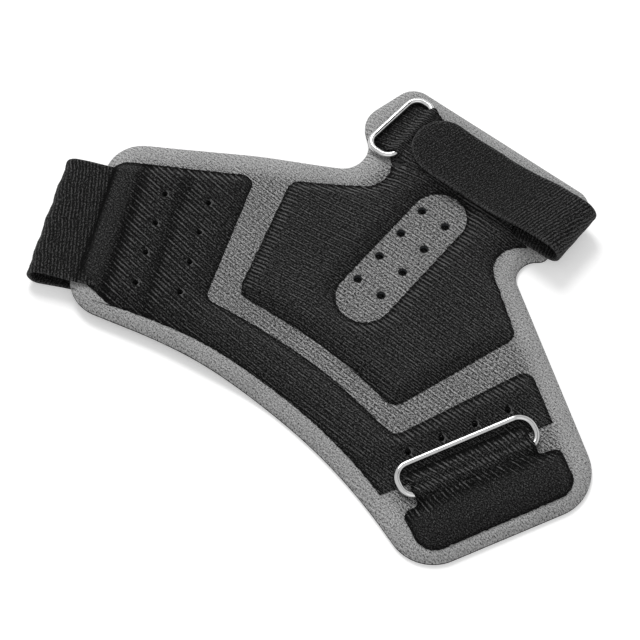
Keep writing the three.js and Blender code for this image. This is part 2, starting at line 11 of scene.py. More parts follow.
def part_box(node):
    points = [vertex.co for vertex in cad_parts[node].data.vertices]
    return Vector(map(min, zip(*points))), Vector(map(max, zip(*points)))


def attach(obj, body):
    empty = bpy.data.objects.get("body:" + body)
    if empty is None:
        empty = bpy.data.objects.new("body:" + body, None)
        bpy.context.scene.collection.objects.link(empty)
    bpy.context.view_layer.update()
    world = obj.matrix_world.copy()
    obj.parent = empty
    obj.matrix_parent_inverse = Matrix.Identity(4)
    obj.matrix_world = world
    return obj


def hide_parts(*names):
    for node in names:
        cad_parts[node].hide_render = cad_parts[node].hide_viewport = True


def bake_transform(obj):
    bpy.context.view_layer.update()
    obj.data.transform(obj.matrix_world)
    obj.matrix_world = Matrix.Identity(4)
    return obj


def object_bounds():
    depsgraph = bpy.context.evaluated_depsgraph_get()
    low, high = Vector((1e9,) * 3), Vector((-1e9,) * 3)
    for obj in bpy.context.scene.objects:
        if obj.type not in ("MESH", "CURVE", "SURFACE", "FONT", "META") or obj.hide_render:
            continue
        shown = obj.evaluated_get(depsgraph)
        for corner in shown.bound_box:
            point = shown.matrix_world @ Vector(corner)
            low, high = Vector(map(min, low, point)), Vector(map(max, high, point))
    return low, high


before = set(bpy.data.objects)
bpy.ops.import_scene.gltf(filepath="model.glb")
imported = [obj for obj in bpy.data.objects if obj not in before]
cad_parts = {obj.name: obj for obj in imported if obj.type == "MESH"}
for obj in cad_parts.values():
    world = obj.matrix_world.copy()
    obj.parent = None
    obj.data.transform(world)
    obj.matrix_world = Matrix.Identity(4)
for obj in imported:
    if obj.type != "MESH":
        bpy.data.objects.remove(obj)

# A soft wrist guard, opened out with its skin side down: a laminated body with raised pads,
# two wire rings and two elastic straps that are folded away. Plan sizes are millimetres in the
# guard's own frame, where x = 0 is its middle line and +y points to the fingers.

bl_info = {
    "name": "Wrist guard",
    "version": (1, 0, 0),
    "blender": (4, 5, 0),
    "location": "3D View > Sidebar > Guard",
    "description": "Builds the cloth, foam, wire and webbing of a soft wrist guard",
    "category": "Object",
}

CAD_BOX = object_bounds()
MM = 0.001
WAVE_SCALE = 0.314  # of a wave texture whose bands are 1 apart


# ---------------------------------------------------------------- sizes of the parts
STRAP_THICKNESS = 1.4
WRIST_STRAP_WIDTH = 50
HAND_STRAP_WIDTH = 25
WRIST_STRAP_CENTRE = 22.8
HAND_CENTRE = 87.2

LINING_TOP = 0.7
CORE_LOW, CORE_TOP, POCKET_TOP = 1.0, 3.0, 1.65
FACE_TOP = 3.8
FACE_THICKNESS = 0.5
SEAT = 4.1
CLIMB, CLIMB_START, CLIMB_END = 3.0, 8, 48

WING_ANGLE = 25.9
WING_REACH = 96.4
WRIST_PAD_LEFT_END = 92.5
WRIST_PAD_RIGHT_END = 64.2
SKIN, THIN, FOAM_INSET = 0.6, 0.3, 3.2

WINDOW_HALF_WIDTH = 10.5
WINDOW_LOW, WINDOW_HIGH = 9.7, 74.1

WIRE = {"wrist_ring": 2.1, "hand_ring": 2.3}
RING_LENGTH = {"wrist_ring": 54.2, "hand_ring": 30.9}
RING_DEPTH = {"wrist_ring": 14, "hand_ring": 13.8}
RING_CORNER = {"wrist_ring": 5.5, "hand_ring": 4.85}
RING_BUTT = 0.4
WRIST_BAR, WRIST_RING_CENTRE = 70.0, 23.2
HAND_BAR = -29.2

WRIST_SEWN, WRIST_FOLD, WRIST_TAIL_TIP = 84.5, 107.9, 50
HAND_SEWN, HAND_FOLD, HAND_FLAP_TIP = 24.3, 41.1, -27.4
HAND_FOLD_RADIUS, HAND_HINGE = 4.7, 39.8

# degrees, and metres from the middle of the footprint
CAMERA_TURN, CAMERA_UP, CAMERA_AWAY = 40, 61.3, 0.7
CAMERA_FOOT, CAMERA_AIM = (0.00025, -0.02747, 0), (0.00252, 0.00306)
FLOOR_REACH = 3000
FAR = 130  # beyond every edge of the guard


# ---------------------------------------------------------------- plan geometry
def unit(angle):
    return np.array([math.cos(math.radians(angle)), math.sin(math.radians(angle))])


WING_COS, WING_SIN = unit(WING_ANGLE)
LEFT_OUT = 180 + WING_ANGLE


def wing_point(side, reach, along):
    """A point given by its reach from the arm's axis and its place along the wing's end."""
    x = reach * WING_COS + along * WING_SIN
    return [side * x, along * WING_COS - reach * WING_SIN]


def wing_place(side, xy):
    """Reach and place along the wing's end of plan points."""
    x, y = side * xy[:, 0], xy[:, 1]
    return x * WING_COS - y * WING_SIN, x * WING_SIN + y * WING_COS


def line(point, angle):
    return np.array(point, float), unit(angle)


def shifted(edge, distance):
    point, way = edge
    return point + distance * np.array([-way[1], way[0]]), way


def meet(a, b):
    (p, u), (q, w) = a, b
    t = ((q[0] - p[0]) * w[1] - (q[1] - p[1]) * w[0]) / (u[0] * w[1] - u[1] * w[0])
    return list(p + u * t)


def mirrored(corners):
    return [(-x, y, r) for x, y, r in reversed(corners)]


def eased(corners, moves):
    """Corners moved by a millimetre or two, as hand-cut and pressed layers come out. A move may
    also change the corner's radius."""
    pairs = zip(corners, moves, strict=True)
    return [(x + dx, y + dy, r + sum(dr)) for (x, y, r), (dx, dy, *dr) in pairs]


def rounded(corners, spacing=0.9):
    """Points of a polygon whose corners [x, y, radius] are rounded."""
    points = []
    for i, (x, y, radius) in enumerate(corners):
        corner = np.array([x, y], float)
        before = np.array(corners[i - 1][:2]) - corner
        after = np.array(corners[(i + 1) % len(corners)][:2]) - corner
        before, after = before / np.linalg.norm(before), after / np.linalg.norm(after)
        half = math.acos(max(-1.0, min(1.0, before @ after))) / 2
        inwards = (before + after) / np.linalg.norm(before + after)
        centre = corner + inwards * radius / math.sin(half)
        first = corner + before * radius / math.tan(half) - centre
        turn = math.pi - 2 * half
        sense = math.copysign(1, after[0] * before[1] - after[1] * before[0])
        steps = max(3, math.ceil(turn * radius / spacing))
        for k in range(steps + 1):
            c, s = math.cos(sense * turn * k / steps), math.sin(sense * turn * k / steps)
            points.append(centre + [c * first[0] - s * first[1], s * first[0] + c * first[1]])
    return np.array(points)


def spaced(outline, spacing=0.9):
    """The same closed outline with points no further apart than the spacing."""
    points = []
    for a, b in zip(outline, np.roll(outline, -1, 0)):
        steps = max(1, math.ceil(np.linalg.norm(b - a) / spacing))
        points.extend(a + (b - a) * k / steps for k in range(steps))
    return np.array(points)


def depth(points, outline):
    """How far plan points lie inside a closed outline; negative outside."""
    a, b = outline, np.roll(outline, -1, 0)
    way = b - a
    square = np.maximum((way * way).sum(1), 1e-12)
    found = np.empty(len(points))
    for k in range(0, len(points), 4000):
        p = points[k : k + 4000, None]
        t = np.clip(((p - a) * way).sum(2) / square, 0, 1)
        near = np.linalg.norm(p - a - t[..., None] * way, axis=2).min(1)
        crosses = (a[:, 1] <= p[..., 1]) != (b[:, 1] <= p[..., 1])
        rise = np.where(way[:, 1] == 0, 1, way[:, 1])
        left = p[..., 0] < a[:, 0] + (p[..., 1] - a[:, 1]) * way[:, 0] / rise
        inside = (crosses & left).sum(1) % 2 == 1
        found[k : k + 4000] = np.where(inside, near, -near)
    return found


def smooth(t):
    t = np.clip(t, 0, 1)
    return t * t * (3 - 2 * t)


def bell(x, width):
    return np.exp(-((x / width) ** 2))


def waves(xy, size, seed):
    """Gentle unevenness of the surface, between -1 and 1, a few sizes long."""
    total = 0
    for k, angle in enumerate(np.random.default_rng(seed).uniform(0, 360, 5)):
        way = unit(angle)
        total = total + np.sin((xy @ way) / size * (0.7 + 0.23 * k) + 1.7 * k + seed)
    return total / 5


# ---------------------------------------------------------------- meshes
VENT_SIDES, VENT_RINGS = 18, (0.35, 0.8, 1.4, 2.1)
EDGE_ROOM, VENT_ROOM = 0.22, 0.3


def level(xy, height):
    """Plan points at a height."""
    return np.column_stack([xy, np.broadcast_to(height, len(xy))])


def tile(edges, inside, step, vents=(), rings=(0.3, 0.8, 1.5, 2.4, 3.5)):
    """Plan points and triangles of the region where inside(points) is positive. Points lie on
    the edges, on rings beside them and round the vents, and on a grid between."""
    points, links = [], []

    def loop(closed):
        start = len(points)
        points.extend(closed)
        links.extend((start + k, start + (k + 1) % len(closed)) for k in range(len(closed)))

    near = []
    for edge in edges:
        edge = spaced(edge)
        loop(edge)
        way = np.roll(edge, -1, 0) - np.roll(edge, 1, 0)
        normal = np.stack([-way[:, 1], way[:, 0]], 1) / np.linalg.norm(way, axis=1)[:, None]
        for k, ring in enumerate(rings):
            near.append((edge + normal * ring)[k % 2 :: 1 if ring < 1 else 2])
            near.append((edge - normal * ring)[k % 2 :: 1 if ring < 1 else 2])
    turn = np.linspace(0, 2 * math.pi, VENT_SIDES, endpoint=False)
    circle = np.stack([np.cos(turn), np.sin(turn)], 1)
    for x, y, radius in vents:
        loop([x, y] + circle * radius)
        near.extend([x, y] + circle * (radius + further) for further in VENT_RINGS)

    def clear(p, room, vent_room):
        """Which points lie inside by one distance, and clear of the vents by another."""
        beside = vent_distance(p, vents) > vent_room if vents else True
        return (inside(p) > room) & beside

    for ring in near:
        points.extend(ring[clear(ring, EDGE_ROOM, VENT_ROOM)])
    every = np.concatenate(edges)
    low, high = every.min(0), every.max(0)
    grid = []
    for k, y in enumerate(np.arange(low[1], high[1], step * 0.87)):
        across = np.arange(low[0] + step / 2 * (k % 2), high[0], step)
        grid.append(level(across[:, None], y))
    grid = np.concatenate(grid)
    points.extend(grid[clear(grid, rings[-1] * 0.8, VENT_RINGS[-1] + step / 2)])
    made, _, faces, *_ = delaunay_2d_cdt([Vector(p) for p in points], links, [], 0, 1e-4, False)
    xy = np.array([tuple(p) for p in made])
    triangles = np.array([f for f in faces if len(f) == 3])
    keep = clear(xy[triangles].mean(1), 0, -0.03)
    a, b, c = (xy[triangles[:, k]] for k in range(3))
    area = (b[:, 0] - a[:, 0]) * (c[:, 1] - a[:, 1]) - (b[:, 1] - a[:, 1]) * (c[:, 0] - a[:, 0])
    triangles[area < 0] = triangles[area < 0][:, ::-1]
    triangles = triangles[keep & (np.abs(area) > 1e-7)]
    used, again = np.unique(triangles, return_inverse=True)
    return xy[used], again.reshape(-1, 3)


def design_origin():
    """What turns plan millimetres into the frame's metres: the laminate's box is centred on it."""
    lo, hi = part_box("outer_cover")
    outline = rounded(body_outline())
    middle = (np.array(lo) + np.array(hi))[:2] / 2 / MM
    return np.array([*(middle - (outline.min(0) + outline.max(0)) / 2), 0])


def finish_mesh(mesh, material, grain, marks):
    """Gives a mesh its material, its grain map in millimetres and its marks."""
    corner = np.zeros(len(mesh.loops), int)
    mesh.loops.foreach_get("vertex_index", corner)
    layer = mesh.uv_layers.new(name="grain")
    layer.data.foreach_set("uv", grain[corner].astype(np.float32).ravel())
    for mark, values in marks.items():
        attribute = mesh.attributes.new(mark, "FLOAT", "POINT")
        values = np.broadcast_to(values, len(mesh.vertices)).astype(np.float32)
        attribute.data.foreach_set("value", values)
    mesh.materials.clear()
    mesh.materials.append(material)


def mesh_object(name, points, faces, material, grain=None, marks=None):
    """A smooth-shaded mesh from design points in millimetres. grain is each point's place in the
    cloth in millimetres, kept as a UV map; marks are named values for the materials."""
    mesh = bpy.data.meshes.new(name)
    mesh.from_pydata(((points + ORIGIN) * MM).tolist(), [], [list(map(int, f)) for f in faces])
    mesh.validate()
    grain = points[:, :2] if grain is None else grain
    finish_mesh(mesh, material, grain, {"rib": 0.5, "nap": 0.0, "shade": 0.0, **(marks or {})})
    mesh.shade_smooth()
    mesh.set_sharp_from_angle(angle=math.radians(52))
    piece = bpy.data.objects.new(name, mesh)
    bpy.context.scene.collection.objects.link(piece)
    return piece


def edge_walls(triangles, count):
    """Faces that join a sheet's open edges to those of its copy, count points further on."""
    sides = np.concatenate([triangles[:, [0, 1]], triangles[:, [1, 2]], triangles[:, [2, 0]]])
    key = np.sort(sides, 1) @ [count, 1]
    _, first, times = np.unique(key, return_index=True, return_counts=True)
    a, b = sides[first[times == 1]].T
    return np.stack([a, a + count, b + count, b], 1)


def shell(name, plan, top, bottom, material, grain=None, marks=None):
    """A closed cloth or foam piece between a top and a bottom surface over the same plan."""
    xy, triangles = plan
    count = len(xy)
    faces = [*triangles, *(triangles[:, ::-1] + count), *edge_walls(triangles, count)]
    grain = xy if grain is None else grain
    marks = {k: np.tile(np.broadcast_to(v, count), 2) for k, v in (marks or {}).items()}
    points = np.concatenate([top, bottom])
    return mesh_object(name, points, faces, material, np.concatenate([grain, grain]), marks)


def tube_points(path, radius, sides=16):
    """Rings of points round a path, with the frame carried along it, and the faces between."""
    path = np.asarray(path, float)
    way = np.gradient(path, axis=0)
    way /= np.linalg.norm(way, axis=1)[:, None]
    across = np.cross(way[0], [0.13, 0.29, 1.0])
    points = []
    for p, w, r in zip(path, way, np.broadcast_to(radius, len(path))):
        across = across - w * (across @ w)
        across /= np.linalg.norm(across)
        up = np.cross(w, across)
        turn = np.linspace(0, 2 * math.pi, sides, endpoint=False)[:, None]
        points.append(p + r * (np.cos(turn) * across + np.sin(turn) * up))
    faces = []
    for k in range(len(path) - 1):
        for j in range(sides):
            a, b = k * sides + j, k * sides + (j + 1) % sides
            faces.append((a, b, b + sides, a + sides))
    last = (len(path) - 1) * sides
    faces.append(tuple(reversed(range(sides))))
    faces.append(tuple(range(last, last + sides)))
    return np.concatenate(points), faces


def join_parts(parts):
    """Points and faces of several small parts as one list."""
    points, faces, start = [], [], 0
    for part, part_faces in parts:
        points.append(part)
        faces.extend([[start + k for k in f] for f in part_faces])
        start += len(part)
    return np.concatenate(points), faces


# ---------------------------------------------------------------- outlines of the pieces
WING_TOP = line([52.5, 50.0], -32.3)
HEM = line([0, -24.3], -19.35)
NECK = line([39, 72.3], 41.2)
BAND_LEFT, BAND_RIGHT = -49.5, 41.2


def wing_end(reach):
    return line(wing_point(1, reach, 0), 90 - WING_ANGLE)


def body_outline():
    wing = [
        (*meet(HEM, wing_end(WING_REACH)), 16),
        (*meet(WING_TOP, wing_end(WING_REACH)), 18),
        (*meet(WING_TOP, NECK), 10),
    ]
    low_left = (*meet(NECK, line([-BAND_LEFT, 0], 90)), 4)
    return [
        (0, -24.3, 205),
        *wing,
        (*meet(NECK, line([BAND_RIGHT, 0], 90)), 4),
        (BAND_RIGHT, HAND_CENTRE + 19.1, 8),
        (BAND_LEFT + 4.2, HAND_CENTRE + 17.2, 8),
        *mirrored([low_left]),
        *mirrored(wing),
    ]


ORIGIN = design_origin()
RIGHT_WING = [(3.16, -2.71), (-1.18, 1.67), (-0.6, 1.0), (0.07, 2.23, -2)]
HAND_BAND = [(-0.54, 0.58), (0.05, 1.4), (0.73, 1.5), (-0.94, -0.26, 7)]
LEFT_WING = [(-1.17, 1.89), (-1.0, 0.2, -4.5), (-1.4, 2.14)]
BODY = rounded(eased(body_outline(), RIGHT_WING + HAND_BAND + LEFT_WING))


def pill(grow=0.0):
    """The window's outline, moved outwards."""
    half = WINDOW_HALF_WIDTH + grow
    low, high = WINDOW_LOW - grow, WINDOW_HIGH + grow
    corners = ((-half, low), (half, low), (half, high), (-half, high))
    return rounded([(x + 0.3, y, half - 0.1) for x, y in corners])


ARM_LOW = HAND_CENTRE - 12.2
ARM_HIGH = HAND_CENTRE + 12.2
SHOULDER = line([51.9, 41.8], 144)


def hand_pad_rim():
    side = [(36.6, -8.3, 5), (51.9, 41.8, 5), (*meet(SHOULDER, line([0, ARM_LOW], 0)), 9.9)]
    top = [(120, ARM_LOW, 1), (120, ARM_HIGH, 1)]
    right = [(-0.33, 0.03), (0.64, 0.05), (-0.1, -0.53)]
    left = [(0.53, -0.34), (0.41, -0.95), (1.52, -0.61)]
    moves = [(-0.23, -1.17), *right, *[(0, 0)] * 4, *left]
    return rounded(eased([(0, -2.2, 170), *side, *top, *mirrored(top), *mirrored(side)], moves))


def wrist_pad_rim(left_end=WRIST_PAD_LEFT_END):
    hem, top, end = shifted(HEM, 7), shifted(WING_TOP, -7), wing_end(left_end)
    channel = line([45, -12], 68.1)
    heel = meet(hem, line([70, 0], 90))
    side = [
        (*heel, 8),
        (*meet(line(heel, -2.5), end), 3),
        (*meet(top, end), 5),
        (*meet(top, channel), 4),
        (*meet(channel, line([0, -9.1], -11.5)), 4),
    ]
    low = meet(hem, line([0, 0], 90))[1]
    right = [(-0.41, -1.05), (0, 0), (0, 0), (0.03, -0.01), (0.52, 1.29)]
    left = [(0.3, -0.32), (1.5, -1.4), (0.0, -2.0), (0.16, 1.49), (2.54, -0.69)]
    moves = [(-0.87, 2.9), *right, (-1.34, -1.64), *left]
    return rounded(eased([(0, low, 190), *side, (0, -9.1, 165), *mirrored(side)], moves))


def ring_place(u, v):
    """A plan point beside the wrist ring's held bar: u towards its free bar, v along it."""
    return wing_point(1, WRIST_BAR - u, WRIST_RING_CENTRE + v)


WINDOW_VENTS = [
    (-1.1 + side * 5.4, 43.6 + (k - 1.5) * 12.6, 1.45) for k in range(4) for side in (-1, 1)
]
PAD_VENTS = [
    (*wing_point(side, reach, centre + (k - 1.5) * 12.9), 0.85)
    for side, reach, centre in ((-1, 54.9, 20.6), (-1, 71.5, 20.6), (1, 53.7, 25))
    for k in range(4)
]
ALL_VENTS = WINDOW_VENTS + PAD_VENTS


def climb(xy):
    """How far the tucked strap lifts the body."""
    reach, _ = wing_place(-1, xy)
    return CLIMB * smooth((reach - CLIMB_START) / (CLIMB_END - CLIMB_START))


def vent_distance(xy, vents):
    """Distance from the rim of the nearest vent."""
    return np.min([np.hypot(xy[:, 0] - x, xy[:, 1] - y) - r for x, y, r in vents], axis=0)


def painted_vent_light(xy, vents, lip=0.0):
    """Painted light round the hot-punched vents: painted shade on their walls and mouths, and a
    painted highlight, as strong as lip, on the side away from the key lamp, where the dimple's
    far slope faces it."""
    out = xy[:, None] - np.array([[x, y] for x, y, _ in vents])
    side = np.max(np.clip(out @ unit(40), 0, 1) * (np.linalg.norm(out, axis=2) < 1.7), axis=1)
    v = vent_distance(xy, vents)
    return lip * side * bell(v - 0.4, 0.28) - 1.3 * np.clip(1 - v / 0.3, 0, 1)


def pressed_edge(xy, roll):
    """How far the laminate's top is pressed down beside its edge."""
    d = depth(xy, BODY)
    return 2.35 * (1 - np.clip(d / roll, 0, 1)) ** 2.3


def base_face(xy, roll):
    """The cover's top without its vents' dimples: flat, and pressed down at its edge."""
    return climb(xy) + FACE_TOP - pressed_edge(xy, roll) + 0.12 * waves(xy, 9, 3)


def face_height(xy, roll):
    """The cover's top, with a dimple and a faint lip round each vent."""
    v = vent_distance(xy, ALL_VENTS)
    return base_face(xy, roll) - 0.45 * bell(v, 0.7) + 0.12 * bell(v - 1.4, 0.6)


def swell(d, width):
    """The moulded side of a pad, from 0 at its edge to 1 at its crown: a thin pressed lip, a
    rounded rise and a crown that goes on filling out a little."""
    rise = smooth((d - 0.9) / width) ** 0.9
    return 0.9 * rise + 0.1 * (1 - np.exp(-np.maximum(d, 0) / 14)) + 0.09 * smooth(d / 0.5)


# ---------------------------------------------------------------- materials
MATHS, MIX, NOISE = "ShaderNodeMath", "ShaderNodeMix", "ShaderNodeTexNoise"


def colour(text):
    """An sRGB hex value as linear RGBA."""
    srgb = [int(text[k : k + 2], 16) / 255 for k in (0, 2, 4)]
    return (*[c / 12.92 if c <= 0.04045 else ((c + 0.055) / 1.055) ** 2.4 for c in srgb], 1.0)


def add(tree, kind, links=None, **settings):
    """Adds a node with its settings. Each input gets a value, or a link from an output: a node
    stands for its first one."""
    node = tree.nodes.new(kind)
    for key, value in settings.items():
        setattr(node, key, value)
    for key, value in (links or {}).items():
        value = value.outputs[0] if isinstance(value, bpy.types.Node) else value
        if isinstance(value, bpy.types.NodeSocket):
            tree.links.new(value, node.inputs[key])
        else:
            node.inputs[key].default_value = value
    return node


def started(name, **sockets):
    """A new material, its tree and its Principled shader, with uniform values on the shader."""
    material = bpy.data.materials.new(name)
    material.use_nodes = True
    shader = material.node_tree.nodes["Principled BSDF"]
    for key, value in sockets.items():
        shader.inputs[key.replace("_", " ")].default_value = value
    return material, material.node_tree, shader


def knitted(name, groove, crest, pitch, relief, falloff, grit, fine, **sockets):
    """Cloth with ribs across the grain map's second axis, one pitch in millimetres apart. Its
    furrows are broken strokes about 3 mm long, over single loops about half a millimetre
    across, as strong as the grit, and finer ribs between. The rib mark makes the ribs stronger,
    the nap mark turns them into fleece, and the shade mark lightens or darkens: it carries
    painted shade, painted shadows and painted highlights besides plain tone."""
    if name in bpy.data.materials:
        return bpy.data.materials[name]
    material, tree, shader = started(name, **sockets)
    grain = add(tree, "ShaderNodeUVMap", uv_map="grain")
    gain, nap, shade = (
        add(tree, "ShaderNodeAttribute", attribute_name=mark).outputs["Fac"]
        for mark in ("rib", "nap", "shade")
    )

    def speckle(along, across, detail, roughness):
        """Spots round zero, so many to a millimetre along the ribs and across them."""
        scaled = {0: grain, 1: (along, across, 1)}
        scaled = add(tree, "ShaderNodeVectorMath", scaled, operation="MULTIPLY")
        sockets = {"Vector": scaled, "Scale": 1.0, "Detail": detail, "Roughness": roughness}
        sockets = {0: add(tree, NOISE, sockets), 1: 0.5}
        return add(tree, MATHS, sockets, operation="SUBTRACT")

    def ribs(spacing):
        """Ribs round zero, a spacing in millimetres apart."""
        sockets = {"Vector": grain, "Scale": WAVE_SCALE / spacing, "Distortion": 0.7}
        sockets |= {"Detail": 2.0, "Detail Scale": 0.6}
        wave = add(tree, "ShaderNodeTexWave", sockets, bands_direction="Y").outputs["Fac"]
        return add(tree, MATHS, {0: wave, 1: 0.5}, operation="SUBTRACT")

    def layered(level, *patterns):
        """A level with patterns laid over it, each by its own share."""
        for pattern, share in patterns:
            level = {0: pattern, 1: share, 2: level}
            level = add(tree, MATHS, level, operation="MULTIPLY_ADD")
        return level

    strokes = {0: layered(0.9, (speckle(0.24, 1.0 / pitch, 1.0, 0.5), 3.6)), 1: 0.0}
    strokes = add(tree, MATHS, strokes, operation="MAXIMUM")
    finer = add(tree, MATHS, {0: ribs(0.62 * pitch), 1: fine}, operation="MULTIPLY")
    furrows = layered(0.5, (layered(finer, (ribs(pitch), gain)), strokes))
    fuzz = speckle(2.2, 2.2, 1.5, 0.6), 2.0 * grit
    knit = layered(furrows, (speckle(1.1, 2.5, 2.5, 0.65), 3.3 * grit), fuzz)
    fleece = layered(0.5, (speckle(1.5, 2.1, 3.0, 0.7), 2.8 * grit), fuzz)
    height = add(tree, MIX, {0: nap, 2: knit, 3: fleece}, clamp_factor=True)
    lightness = add(tree, MATHS, {0: height, 1: shade}, operation="ADD", use_clamp=True)
    lightness = add(tree, MATHS, {0: lightness, 1: falloff}, operation="POWER")
    dyed = {0: lightness, 6: (*groove[:3], 1), 7: (*crest[:3], 1)}
    dyed = add(tree, MIX, dyed, data_type="RGBA", clamp_factor=True).outputs[2]
    patches = add(tree, NOISE, {"Vector": grain, "Scale": 0.045, "Detail": 2.0})
    worn = {0: dyed, "Scale": layered(0.82, (patches, 0.36))}
    dyed = add(tree, "ShaderNodeVectorMath", worn, operation="SCALE").outputs[0]
    tree.links.new(dyed, shader.inputs["Base Color"])
    bump = {"Height": height, "Strength": 1.0, "Distance": relief * MM}
    tree.links.new(add(tree, "ShaderNodeBump", bump).outputs[0], shader.inputs["Normal"])
    return material


def patterned(name, texture, pattern, tones, bump=None, along=None, **sockets):
    """A material whose colour, and relief in millimetres, follow one texture. Waves run along an
    axis. The hook tape's follow the grain map, in millimetres, and all others the object."""
    if name in bpy.data.materials:
        return bpy.data.materials[name]
    material, tree, shader = started(name, **sockets)
    if along == "X":
        grain = add(tree, "ShaderNodeUVMap", uv_map="grain")
    else:
        grain = add(tree, "ShaderNodeTexCoord").outputs["Object"]
    settings = {"bands_direction": along} if along else {}
    node = add(tree, "ShaderNodeTex" + texture, {"Vector": grain, **pattern}, **settings)
    level = node.outputs["Distance" if texture == "Voronoi" else "Fac"]
    dark, light = (colour(t) if isinstance(t, str) else (*t, 1) for t in tones)
    dyed = {0: level, 6: dark, 7: light}
    dyed = add(tree, MIX, dyed, data_type="RGBA", clamp_factor=True).outputs[2]
    tree.links.new(dyed, shader.inputs["Base Color"])
    if bump:
        bump = {"Height": level, "Strength": bump[0], "Distance": bump[1] * MM}
        tree.links.new(add(tree, "ShaderNodeBump", bump).outputs[0], shader.inputs["Normal"])
    return material


def grey_knit(look):
    """Nylon warp knit, brushed and heat-pressed: a matt grey with fine ribs and broken loops."""
    return knitted(
        "brushed_nylon_knit_grey", look.cover_groove, look.cover_crest, look.rib_pitch / MM,
        relief=0.14, falloff=1.0, grit=1.05, fine=0.25,
        Roughness=0.95, Specular_IOR_Level=0.05, Sheen_Weight=0.03, Sheen_Roughness=0.5,
    )


def black_knit(look):
    """The same knit dyed black, with a short loop nap: near black in the furrows, charcoal and a
    soft sheen on the crests."""
    return knitted(
        "looped_nylon_knit_black", look.pad_groove, look.pad_crest, look.rib_pitch / MM,
        relief=0.28, falloff=2.8, grit=0.85, fine=0.42,
        Roughness=0.9, Specular_IOR_Level=0.05, Sheen_Weight=0.03, Sheen_Roughness=0.45,
    )


def strap_elastic(look):
    """Woven elastic with a brushed loop face: its cords show as ribs across the width, and the
    pile over them blurs them."""
    return knitted(
        "brushed_elastic_webbing", look.strap_groove, look.strap_crest, 1.25,
        relief=0.25, falloff=3.0, grit=1.25, fine=0.0,
        Roughness=0.88, Specular_IOR_Level=0.06, Sheen_Weight=0.05, Sheen_Roughness=0.4,
    )


def lining_knit():
    """Smooth black lining jersey, with a fine rib that only shows close up."""
    return knitted(
        "lining_jersey_black", colour("0E0E0E"), colour("5C5C5C"), 0.9,
        relief=0.08, falloff=1.5, grit=1.0, fine=0.0, Roughness=0.92, Specular_IOR_Level=0.05,
    )


def cell_foam():
    """Cut polyurethane foam: dark grey, with open cells about half a millimetre across."""
    return patterned(
        "polyurethane_foam_cut", "Voronoi", {"Scale": 2 / MM}, ("1b1b1b", "3a3a3a"), (1.0, 0.15),
        Roughness=0.95, Specular_IOR_Level=0.2,
    )


def stay_plastic():
    """Die-cut polyethylene sheet: grey, slightly waxy, with a calendered grain, 0.7 mm across."""
    return patterned(
        "polyethylene_sheet_die_cut", "Noise", {"Scale": 1.5 / MM, "Detail": 2.0},
        ("4e5155", "5e6166"), (0.5, 0.03), Roughness=0.45, IOR=1.51,
    )


def hook_nylon():
    """Moulded nylon hook tape: black and slightly glossy, its rows of hooks 0.7 mm apart."""
    return patterned(
        "nylon_hook_tape", "Wave", {"Scale": 0.45, "Distortion": 0.6}, ("101011", "242526"),
        (0.6, 0.06), "X", Roughness=0.5, IOR=1.53, Specular_IOR_Level=0.3,
    )


def bonded_thread():
    """Bonded nylon thread, three plies twisted: slanting lines 0.7 mm apart, drawn coarser than
    real ones so that they show, and a dull gloss."""
    return patterned(
        "bonded_nylon_thread", "Wave", {"Scale": 0.5 / MM}, ("141415", "2b2b2d"), (0.8, 0.05),
        "DIAGONAL", Roughness=0.6, IOR=1.53,
    )


def plated_wire(look):
    """Nickel-plated steel wire, drawn and tumbled: bright, with a soft unevenness in its gloss,
    4 mm across."""
    material = patterned(
        "nickel_plated_steel_wire", "Noise", {"Scale": 0.26 / MM, "Detail": 3.0},
        (look.wire_low, look.wire_high), Metallic=1.0,
    )
    tree = material.node_tree
    shader, cloud = tree.nodes["Principled BSDF"], tree.nodes["Noise Texture"].outputs["Fac"]
    if not shader.inputs["Roughness"].is_linked:
        gloss = add(tree, MATHS, {0: cloud, 1: 0.1, 2: 0.04}, operation="MULTIPLY_ADD")
        tree.links.new(gloss.outputs[0], shader.inputs["Roughness"])
    return material


# ---------------------------------------------------------------- what a user may change
def colour_property(name, description, text):
    settings = {"subtype": "COLOR", "min": 0, "max": 1, "default": colour(text)[:3]}
    return FloatVectorProperty(name=name, description=description, **settings)


def length_property(name, description, default, low, high):
    settings = {"unit": "LENGTH", "default": default, "min": low, "max": high}
    return FloatProperty(name=name, description=description, **settings)


def share_property(name, description, default, high):
    settings = {"subtype": "FACTOR", "default": default, "min": 0, "max": high}
    return FloatProperty(name=name, description=description, **settings)


class GuardLook(PropertyGroup):
    """Colours and cloth of the guard."""

    cover_groove: colour_property("Cover furrows", "Grey cover cloth, between its ribs", "303030")
    cover_crest: colour_property("Cover ribs", "Grey cover cloth, on its ribs", "C0C0C0")
    pad_groove: colour_property("Pad furrows", "Black pad cloth, between its ribs", "060606")
    pad_crest: colour_property("Pad ribs", "Black pad cloth, on its ribs", "626262")
    strap_groove: colour_property("Strap furrows", "Elastic, between its cords", "070707")
    strap_crest: colour_property("Strap ribs", "Elastic, on its cords", "545454")
    wire_low: colour_property("Wire, darker", "Plating where it is duller", "9A9A9A")
    wire_high: colour_property("Wire, lighter", "Plating where it is brighter", "D4D4D4")
    rib_pitch: length_property("Rib pitch", "Distance between knit ribs", 0.0016, 0.0006, 0.003)


class GuardShape(PropertyGroup):
    """Soft shapes of the guard."""

    pad_rise: length_property("Pad rise", "Pads' height over the cover", 0.0034, 0.002, 0.005)
    pad_side: length_property("Pad side", "Width of a pad's sloping side", 0.0048, 0.003, 0.008)
    edge_roll: length_property("Edge roll", "Width of the pressed-down edge", 0.0045, 0.002, 0.006)
    valley: share_property("Channel depth", "Share of a pad's rise that it takes", 0.62, 0.8)
    fold_bulge: length_property("Fold bulge", "How far the wrist fold bows out", 0.0002, 0, 0.004)
    fold_puff: length_property("Fold puff", "How far the hand strap's fold rises", 0.0, 0, 0.008)


